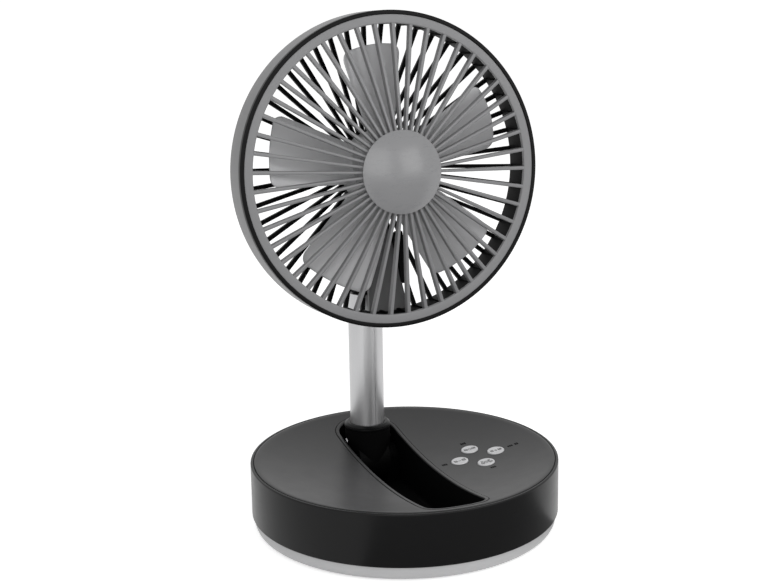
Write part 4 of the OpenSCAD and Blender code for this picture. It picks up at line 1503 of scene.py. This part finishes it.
@dataclass
class Head:
    """The fan head: drum, bezel, grilles, cap, cage and motor cover."""

    mill: Mill
    frames: Frames
    radius: float = 100 * MM
    bezel_in: float = 97.3 * MM
    ring_in: float = 91.6 * MM
    slats: int = 48
    slat_phase: float = math.pi / 48
    slat_width: float = 2.5 * MM
    slat_width_in: float = 1.7 * MM
    slat_depth: float = 4.2 * MM
    rise: float = 16 * MM
    cap_radius: float = 26.2 * MM
    cap_dome: float = 8 * MM
    drum_depth: float = 25.5 * MM
    drum_round: float = 5.5 * MM
    cage_in: float = 92.4 * MM
    cage_depth: float = 20 * MM
    hub_radius: float = 24 * MM
    hub_depth: float = 42.5 * MM
    hub_plate: float = 2.4 * MM
    dome_steps: int = 160

    @property
    def seat(self) -> float:
        """Depth of the hub seat's inner face behind the front ring."""
        return self.hub_depth - self.hub_plate

    def build(self) -> None:
        """Builds and dresses every piece of the head."""
        self.drum()
        self.bezel()
        self.grille()
        self.cap()
        self.cage()
        self.cover()

    def drum(self) -> None:
        """The grey drum with its rounded back."""
        r, d, t = self.radius, self.drum_depth, 2.2 * MM
        outline = Mill.rounded(
            [(r - t, -3.2 * MM), (r, -3.2 * MM), (r, -d), (r - self.drum_round - 0.2 * MM, -d),
             (r - self.drum_round - 0.2 * MM, -d + t), (r - t, -d + t)],
            {1: 0.3 * MM, 2: self.drum_round - 0.1 * MM, 5: 2.0 * MM}, 10)
        piece = self.mill.lathe("head_drum", outline, BIG_ROUND, self.frames.head)
        self.mill.dress(piece, "drum_grey", "head", ["head_shell"], "grey_plastic")

    def bezel(self) -> None:
        """The black band between the drum and the front ring."""
        r, inner = self.radius, self.bezel_in + 0.05 * MM
        outline = Mill.rounded(
            [(inner, 0.6 * MM), (r, 0.6 * MM), (r, -3.2 * MM), (inner - 2 * MM, -3.2 * MM),
             (inner - 2 * MM, -2.4 * MM), (inner, -2.4 * MM)],
            {0: 0.4 * MM, 1: 1.1 * MM, 2: 0.25 * MM}, 6)
        piece = self.mill.lathe("head_bezel", outline, BIG_ROUND, self.frames.head)
        self.mill.dress(piece, "bezel_black", "head", ["bezel_ring"], "black_shell")

    def bar(self, name: str, ends: tuple[float, float], widths: tuple[float, float],
            tops: tuple[float, float], depths: tuple[float, float],
            crown_out: bool = True) -> bpy.types.Object:
        """One bar on the +X side, tapered, with a softly crowned face.

        Args:
            name: the unit's name.
            ends: inner and outer radius.
            widths: width at each end.
            tops: height of the crowned face at each end.
            depths: depth of the bar at each end.
            crown_out: the crown faces +Z, else -Z.

        Returns:
            The unit, for Geometry Nodes to repeat.
        """
        section = [(-1, -1), (-1, -0.20), (-0.84, -0.05), (-0.4, 0), (0.4, 0), (0.84, -0.05),
                   (1, -0.20), (1, -1)]
        rings, spans = [], 5
        for i in range(spans + 1):
            x, width, top, depth = (a + (b - a) * i / spans for a, b in (ends, widths, tops, depths))
            rings.append([(x, width / 2 * u, top + v * depth if crown_out else top - depth - v * depth)
                          for u, v in section])
        return Mill.loft(name, rings, False, 1e-7, 50)

    def repeat(self, name: str, unit: bpy.types.Object, finish: str, node: str, slot: str) -> None:
        """Repeats a unit round the head's axis and dresses the result.

        Args:
            name: the piece's name.
            unit: the object that repeats.
            finish: a palette name.
            node: the CAD node that it stands for.
            slot: the record's slot.
        """
        place, count, phase = self.frames.head, self.slats, self.slat_phase
        piece = self.mill.repeat(name, unit, count, phase, place, finish)
        self.mill.dress(piece, finish, "head", [node], slot)

    def grille(self) -> None:
        """The front ring and its slats."""
        inner, outer = self.ring_in, self.bezel_in
        ring = Mill.rounded(
            [(inner, 0), (outer, 0), (outer, -2.4 * MM), (inner, -2.4 * MM)],
            {0: 0.9 * MM, 1: 0.35 * MM, 3: 0.3 * MM}, 6)
        piece = self.mill.lathe("grille_ring", ring, BIG_ROUND, self.frames.head)
        self.mill.dress(piece, "grille_grey", "head", ["front_grille"], "grey_plastic")
        unit = self.bar("slat_unit", (self.cap_radius - 1.5 * MM, self.ring_in + 0.5 * MM),
                        (self.slat_width_in, self.slat_width), (self.rise - 1.1 * MM, -0.2 * MM),
                        (self.slat_depth, self.slat_depth))
        self.repeat("grille_slats", unit, "grille_grey", "front_grille", "grey_plastic")

    def cap(self) -> None:
        """The domed cap in the middle of the front grille."""
        r, dome, base, spans = self.cap_radius, self.cap_dome, self.rise - 0.4 * MM, 24
        ball = (r * r + dome * dome) / (2 * dome)
        half = math.asin(r / ball)
        turns = [half * (1 - i / spans) for i in range(spans + 1)]
        curve = [(ball * math.sin(turn), base + 1 * MM + ball * (math.cos(turn) - math.cos(half)))
                 for turn in turns]
        outline = [(0, self.rise - 3 * MM), (r - 1.0 * MM, self.rise - 3 * MM),
                   (r - 0.5 * MM, base), (r, base + 0.4 * MM)] + curve[:-1] + [(0, curve[-1][1])]
        piece = self.mill.lathe("grille_dome", outline, self.dome_steps, self.frames.head)
        self.mill.dress(piece, "cap_grey", "head", ["grille_cap"], "cap_plastic")

    def cage(self) -> None:
        """The black rear cage: cup wall with ribs, spokes, hub seat, neck panel and ears."""
        inner, deep, hub = self.cage_in, self.cage_depth, self.hub_radius
        step, edge, back = inner + 2.2 * MM, self.radius - 2.3 * MM, self.drum_depth - 2.2 * MM
        wall = Mill.rounded(
            [(inner, -2.4 * MM), (step, -2.4 * MM), (step, -deep), (edge, -deep), (edge, -back),
             (inner, -back)],
            {5: 1.0 * MM, 0: 0.4 * MM}, 5)
        piece = self.mill.lathe("cage_wall", wall, BIG_ROUND, self.frames.head)
        self.mill.dress(piece, "cage_black", "head", ["rear_cage"], "black_plastic")
        unit = self.bar("spoke_unit", (hub - 1 * MM, inner + 0.6 * MM), (2.1 * MM, 2.7 * MM),
                        (3.1 * MM - self.seat, -deep), (3.5 * MM, 3.1 * MM), False)
        self.repeat("cage_spokes", unit, "cage_black", "rear_cage", "black_plastic")
        rib = self.bar("rib_unit", (inner - 1.0 * MM, inner + 0.4 * MM), (1.8 * MM, 2.2 * MM),
                       (-2.8 * MM, -2.8 * MM), (deep - 2.0 * MM, deep - 2.0 * MM))
        self.repeat("cage_ribs", rib, "cage_black", "rear_cage", "black_plastic")
        skirt, bore, boss = hub - 2.4 * MM, 4.1 * MM, 5.2 * MM
        seat = Mill.rounded(
            [(0, -self.hub_depth), (hub, -self.hub_depth), (hub, -32.2 * MM),
             (skirt, -32.2 * MM), (skirt, -self.seat), (boss, -self.seat),
             (boss, -12 * MM), (bore, -12 * MM), (bore, -16 * MM), (0, -16 * MM)],
            {1: 1.0 * MM, 2: 0.4 * MM, 3: 0.4 * MM}, 5)
        piece = self.mill.lathe("cage_hub", seat, SMALL_ROUND, self.frames.head)
        self.mill.dress(piece, "cage_black", "head", ["rear_cage"], "black_plastic")
        self.panel()
        self.ears()

    def panel(self) -> None:
        """The solid panel over the neck, between the hub and the rim."""
        unit = self.bar("panel_unit", (self.hub_radius - 1 * MM, self.cage_in + 0.6 * MM),
                        (12 * MM, 27 * MM), (3.5 * MM - self.seat, 0.4 * MM - self.cage_depth),
                        (3.9 * MM, 3.5 * MM))
        unit.data.transform(self.frames.head @ Matrix.Rotation(-math.pi / 2, 4, "Z"))
        unit.name = "neck_panel"
        self.mill.dress(unit, "panel_black", "head", ["rear_cage"], "black_plastic")

    def ears(self) -> None:
        """The two ears that carry the head on the neck pin."""
        pivot = self.frames.head.inverted() @ self.frames.pivot
        root, outer = -self.cage_depth - 6 * MM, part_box("neck_pin")[1].x - 1.8 * MM
        outline = self.hull([((pivot.y, pivot.z), 11.5 * MM), ((pivot.y - 6 * MM, root), 2 * MM),
                             ((pivot.y + 24 * MM, root - 5 * MM), 2 * MM)])
        for side, name in ((-1, "ear_left"), (1, "ear_right")):
            piece = Mill.loft(name, [[(side * x, y, z) for y, z in outline]
                                     for x in (outer - 5.5 * MM, outer)])
            self.mill.soften(piece, 0.7 * MM, 3, 40)
            piece.data.transform(self.frames.head)
            self.mill.dress(piece, "cage_black", "head", ["rear_cage"], "black_plastic")

    @staticmethod
    def hull(circles: Sequence[tuple[tuple[float, float], float]]) -> list[tuple[float, float]]:
        """Outline round several circles.

        Args:
            circles: centre and radius of each.

        Returns:
            The outline's points.
        """
        cloud = [(c[0] + r * math.cos(a), c[1] + r * math.sin(a))
                 for c, r in circles for a in np.linspace(0, 2 * math.pi, 96, endpoint=False)]
        cloud.sort()

        def half(points: Iterable[tuple[float, float]]) -> list[tuple[float, float]]:
            """One side of the hull."""
            out: list[tuple[float, float]] = []
            for p in points:
                while len(out) > 1 and ((out[-1][0] - out[-2][0]) * (p[1] - out[-2][1])
                                        - (out[-1][1] - out[-2][1]) * (p[0] - out[-2][0])) <= 0:
                    out.pop()
                out.append(p)
            return out[:-1]

        return half(cloud) + half(reversed(cloud))

    def cover(self) -> None:
        """The disc that closes the motor behind."""
        r, d = self.hub_radius - 1.6 * MM, self.hub_depth
        outline = Mill.rounded(
            [(0, -d), (r, -d), (r, -d - 1.2 * MM), (r - 5.4 * MM, -d - 2.4 * MM), (0, -d - 2.4 * MM)],
            {2: 1.0 * MM, 3: 2.5 * MM}, 6)
        piece = self.mill.lathe("motor_disc", outline, SMALL_ROUND, self.frames.head)
        self.mill.dress(piece, "cage_black", "head", ["motor_cover"], "black_plastic")


@dataclass
class Rotor:
    """Hub cup and five pitched blades with rounded tips and thin edges."""

    mill: Mill
    frames: Frames
    blades: int = 5
    phase: float = math.radians(22.5)
    tip: float = 79.5 * MM
    hub: float = 24.2 * MM
    width: float = 49.5 * MM
    width_in: float = 27 * MM
    pitch: float = math.radians(19)
    pitch_in: float = math.radians(34)
    thick: float = 1.6 * MM
    middle: float = 11 * MM
    camber: float = 1.6 * MM
    corner: float = 0.11

    def build(self) -> None:
        """Builds the cup and the blades."""
        self.cup()
        piece = self.mill.repeat("rotor_blades", self.blade(), self.blades, self.phase,
                                 self.frames.head, "blade_grey")
        self.mill.dress(piece, "blade_grey", "rotor", ["fan_rotor"], "blade_plastic")

    def cup(self) -> None:
        """The hub cup over the motor."""
        r, inside, bore, boss = self.hub, self.hub - 3.6 * MM, 1.6 * MM, 4.2 * MM
        outline = Mill.rounded(
            [(bore, 7.2 * MM), (r - 9 * MM, 6.8 * MM), (r - 2 * MM, 5.4 * MM), (r, 3.4 * MM),
             (r, -31 * MM), (inside, -31 * MM), (inside, 3.4 * MM), (boss, 3.4 * MM),
             (boss, -10 * MM), (bore, -10 * MM)],
            {1: 2 * MM, 2: 1.2 * MM, 3: 1.2 * MM, 4: 0.4 * MM}, 5)
        piece = self.mill.lathe("rotor_cup", outline, SMALL_ROUND, self.frames.head)
        self.mill.dress(piece, "hub_grey", "rotor", ["fan_rotor"], "blade_plastic")

    def spot(self, t: float, s: float, side: float) -> Point:
        """A point on a blade's skin.

        Args:
            t: 0 at the hub, 1 at the tip.
            s: -0.5 to 0.5 across the blade.
            side: -1 behind, 1 in front.

        Returns:
            The point in the head's frame.
        """
        start = self.hub - 1.2 * MM
        u = min(1.0, (1 - t) / self.corner)
        ease = math.sqrt(max(0.0, 1 - (1 - u) ** 2))
        r = start + (self.tip - start) * t
        w = (self.width_in + (self.width - self.width_in) * t ** 0.8) * (0.76 + 0.24 * ease)
        p = self.pitch_in + (self.pitch - self.pitch_in) * t
        x = w * s
        edge = math.sqrt(max(0.0, 1 - (2 * abs(s)) ** 6))
        edge *= math.sqrt(max(0.0, 1 - max(0.0, (t - 0.94) / 0.06) ** 4))
        z = x * math.sin(p) + self.camber * (1 - 4 * s * s) + side * edge * self.thick / 2
        a = x * math.cos(p) / r
        return (r * math.cos(a), r * math.sin(a), z - self.middle)

    def blade(self) -> bpy.types.Object:
        """One blade on the +X side."""
        along = [i / 24 * 0.86 for i in range(25)]
        along += [0.86 + 0.14 * math.sin(math.pi / 2 * i / 14) for i in range(1, 15)]
        across = [-0.5 + i / 28 for i in range(29)]
        across = [math.copysign(0.5 * (1 - (1 - abs(2 * s)) ** 1.5), s) for s in across]
        n, m = len(along), len(across)
        points = [self.spot(t, s, side) for side in (-1, 1) for t in along for s in across]
        faces = []
        for k in (0, 1):
            for i in range(n - 1):
                for j in range(m - 1):
                    a = k * n * m + i * m + j
                    faces.append((a, a + 1, a + m + 1, a + m))
        rim = [i * m for i in range(n)] + [(n - 1) * m + j for j in range(1, m)]
        rim += [i * m + m - 1 for i in range(n - 2, -1, -1)] + list(range(m - 2, 0, -1))
        for q in range(len(rim)):
            a, b = rim[q], rim[(q + 1) % len(rim)]
            faces.append((a, b, b + n * m, a + n * m))
        return Mill.tidy(Mill.mesh("blade_unit", points, faces), 2e-6, 60)


# --------------------------------------------------------------------------- carried-over nodes


class CarriedNodes:
    """CAD nodes that stay as they are and only get their finish."""

    finishes: dict[str, str] = {
        "base_shell": "wall_black", "dish_panel": "panel_grey", "bottom_pan": "pan_grey",
        "slot_trough": "deep_black", "rubber_feet": "foot_rubber", "pan_screws": "steel",
        "foot_screws": "steel",
        "battery_cells": "cell_blue", "battery_cradle": "deep_black", "control_board": "board_green",
        "tact_switches": "steel", "usb_port": "steel", "foot_pin": "steel", "foot_washers": "steel",
        "power_button": "key_grey", "timer_button": "key_grey", "slower_button": "key_grey",
        "faster_button": "key_grey", "foot_knuckle": "deep_black", "pole_collar": "collar_black",
        "outer_tube": "tube_chrome", "second_tube": "tube_chrome", "third_tube": "tube_chrome",
        "inner_tube": "tube_chrome", "second_bush": "bush_white", "third_bush": "bush_white",
        "inner_bush": "bush_white", "neck_knuckle": "deep_black", "neck_pin": "steel",
        "neck_washers": "bush_white", "rear_cage": "cage_black", "head_shell": "drum_grey",
        "bezel_ring": "bezel_black", "front_grille": "grille_grey", "grille_cap": "cap_grey",
        "motor_cover": "cage_black", "stator": "copper", "motor_bearings": "steel",
        "motor_screws": "steel", "fan_rotor": "blade_grey", "magnet_ring": "magnet",
        "motor_shaft": "steel", "rotor_nut": "brass",
    }

    def __init__(self, nodes: dict[str, bpy.types.Object], palette: Palette) -> None:
        """Keeps the nodes and the palette.

        Args:
            nodes: CAD nodes by name.
            palette: the finishes.
        """
        self.nodes = nodes
        self.palette = palette

    def dress(self) -> None:
        """Gives every node its finish."""
        for name, node in self.nodes.items():
            node.data.materials.clear()
            node.data.materials.append(self.palette[self.finishes[name]])
            log.info("%s: finished as %s", name, self.finishes[name])


# --------------------------------------------------------------------------- studio


@dataclass(frozen=True)
class Viewpoint:
    """A camera on a sphere round the row's origin, with its own pitch and roll."""

    azimuth: float = -21.93
    elevation: float = 22.66
    distance: float = 1.12396
    pitch: float = 15.0
    roll: float = -0.92
    yaw: float = 0.42
    focal_px: float = 1692.25
    frame_px: float = 780.0
    sensor_mm: float = 36.0

    def place(self) -> None:
        """Makes the camera and sets it as the scene's camera."""
        az, el = math.radians(self.azimuth), math.radians(self.elevation)
        turn, dip, tip = (math.radians(v) for v in (self.azimuth + self.yaw, self.pitch, self.roll))
        spot = self.distance * Vector((math.sin(az) * math.cos(el), -math.cos(az) * math.cos(el),
                                       math.sin(el)))
        ahead = Vector((-math.sin(turn) * math.cos(dip), math.cos(turn) * math.cos(dip), -math.sin(dip)))
        level = Vector((math.cos(turn), math.sin(turn), 0))
        rise = level.cross(ahead)
        right = level * math.cos(tip) + rise * math.sin(tip)
        up = rise * math.cos(tip) - level * math.sin(tip)
        data = bpy.data.cameras.new("viewpoint")
        data.sensor_width = self.sensor_mm
        data.sensor_fit = "HORIZONTAL"
        data.lens = self.focal_px / self.frame_px * self.sensor_mm
        data.clip_start, data.clip_end = 0.05, 30.0
        camera = bpy.data.objects.new("viewpoint", data)
        bpy.context.scene.collection.objects.link(camera)
        matrix = Matrix((right, up, -ahead)).transposed().to_4x4()
        matrix.translation = spot
        camera.matrix_world = matrix
        bpy.context.scene.camera = camera


@dataclass(frozen=True)
class SoftBox:
    """A square area lamp that looks at a point."""

    name: str
    place: Point
    target: Point
    size: float
    power: float

    def hang(self) -> None:
        """Makes the lamp."""
        data = bpy.data.lights.new(self.name, "AREA")
        data.shape = "RECTANGLE"
        data.size = data.size_y = self.size
        data.energy = self.power
        lamp = bpy.data.objects.new(self.name, data)
        bpy.context.scene.collection.objects.link(lamp)
        lamp.location = self.place
        aim = Vector(self.target) - Vector(self.place)
        lamp.rotation_euler = aim.to_track_quat("-Z", "Y").to_euler()


class Studio:
    """White sweep, soft boxes and even surroundings."""

    ambient: float = 0.5
    floor_glow: float = 0.78
    # Glow of the grey card that paints a darker reflection band in gloss.
    reflection_card_glow: float = 0.6
    rays: tuple[str, ...] = ("Is Camera Ray", "Is Glossy Ray", "Is Transmission Ray")
    boxes: tuple[SoftBox, ...] = (
        SoftBox("key_box", (-0.9, -1.8, 1.0), (0, 0, 0.2), 1.6, 14.0),
        SoftBox("fill_box", (1.0, -1.6, 0.8), (0, 0, 0.2), 1.2, 9.0),
        SoftBox("top_box", (0.1, 0.3, 2.0), (0, 0, 0.1), 1.4, 4.0),
    )

    def __init__(self) -> None:
        """Sets the view transform."""
        bpy.context.scene.view_settings.view_transform = "Standard"

    def seen(self, bench: Bench) -> Wire:
        """1 for rays that look at the studio directly, in a mirror or through glass, else 0.

        Args:
            bench: the material under construction.

        Returns:
            The switch.
        """
        path = bench.node("ShaderNodeLightPath")
        first, *others = (bench.wire(path, ray) for ray in self.rays)
        return sum(others, first).clamp()

    def floor(self) -> None:
        """A pale floor that shows white where it is seen and keeps the object's shadow."""
        reach = 6
        corners = [(-reach, -reach, 0), (reach, -reach, 0), (reach, reach, 0), (-reach, reach, 0)]
        piece = Mill.mesh("studio_floor", corners, [(0, 1, 2, 3)])
        bench = Bench.material("studio_floor")
        grain = bench.noise(bench.coords(), 3.0, 2.0)
        base = bench.tint(grain, Colour.grey(0.955), Colour.grey(0.965))
        glow = bench.tint(self.seen(bench), Colour.grey(0.0), Colour.grey(self.floor_glow))
        paint = bench.finish(Base_Color=base, Roughness=0.85, Specular_IOR_Level=0.0,
                             Emission_Color=glow, Emission_Strength=1.0)
        piece.data.materials.append(paint)

    def reflection_card(self) -> None:
        """A glowing grey card on the floor before the fan that only mirrors see: a painted reflection,
        for the dark band in gloss.
        """
        inner, outer, lift = 0.101, 1.6, 0.0006
        turns = [math.radians(a) for a in np.linspace(-40, 62, 35)]
        points = [(r * math.sin(a), -r * math.cos(a), lift) for r in (inner, outer) for a in turns]
        n = len(turns)
        faces = [(n + i, n + i + 1, i + 1, i) for i in range(n - 1)]
        piece = Mill.mesh("studio_flag", points, faces)
        bench = Bench.material("studio_flag")
        base = bench.tint(bench.noise(bench.coords(), 8.0), Colour.grey(0.05), Colour.grey(0.06))
        # Painted reflection: the card glows grey and only glossy rays see it.
        glow = Colour.grey(self.reflection_card_glow).rgba
        paint = bench.finish(Base_Color=base, Roughness=0.9, Specular_IOR_Level=0.0,
                             Emission_Color=glow, Emission_Strength=1.0)
        piece.data.materials.append(paint)
        for ray in ("camera", "diffuse", "shadow", "transmission", "volume_scatter"):
            setattr(piece, "visible_" + ray, False)

    def surroundings(self) -> None:
        """Even white light from all round, at full white where it is seen."""
        world = bpy.data.worlds.new("studio")
        bpy.context.scene.world = world
        bench, white = Bench(world), (1, 1, 1, 1)
        path = bench.node("ShaderNodeLightPath")
        result = bench.node("ShaderNodeBackground", None, {"Color": white, "Strength": self.ambient})
        for ray in self.rays:
            full = bench.node("ShaderNodeBackground", None, {"Color": white, "Strength": 1.0})
            result = bench.node("ShaderNodeMixShader", None,
                                {0: path.outputs[ray], 1: result, 2: full})
        bench.node("ShaderNodeOutputWorld", None, {0: result})

    def build(self) -> None:
        """Sets up the whole studio."""
        self.floor()
        self.reflection_card()
        self.surroundings()
        for box in self.boxes:
            box.hang()


def main() -> None:
    """Loads the frame, dresses the fan and sets the scene."""
    logging.basicConfig(level=logging.INFO, format="%(name)s %(message)s")
    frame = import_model()
    palette = Palette()
    mill = Mill(palette)
    CarriedNodes(frame["nodes"], palette).dress()
    frames = Frames.read(frame["joints"])
    Base(mill, frames).build()
    Pole(mill, frames).build()
    Head(mill, frames).build()
    Rotor(mill, frames).build()
    Studio().build()
    Viewpoint().place()


if __name__ == "__main__":
    main()
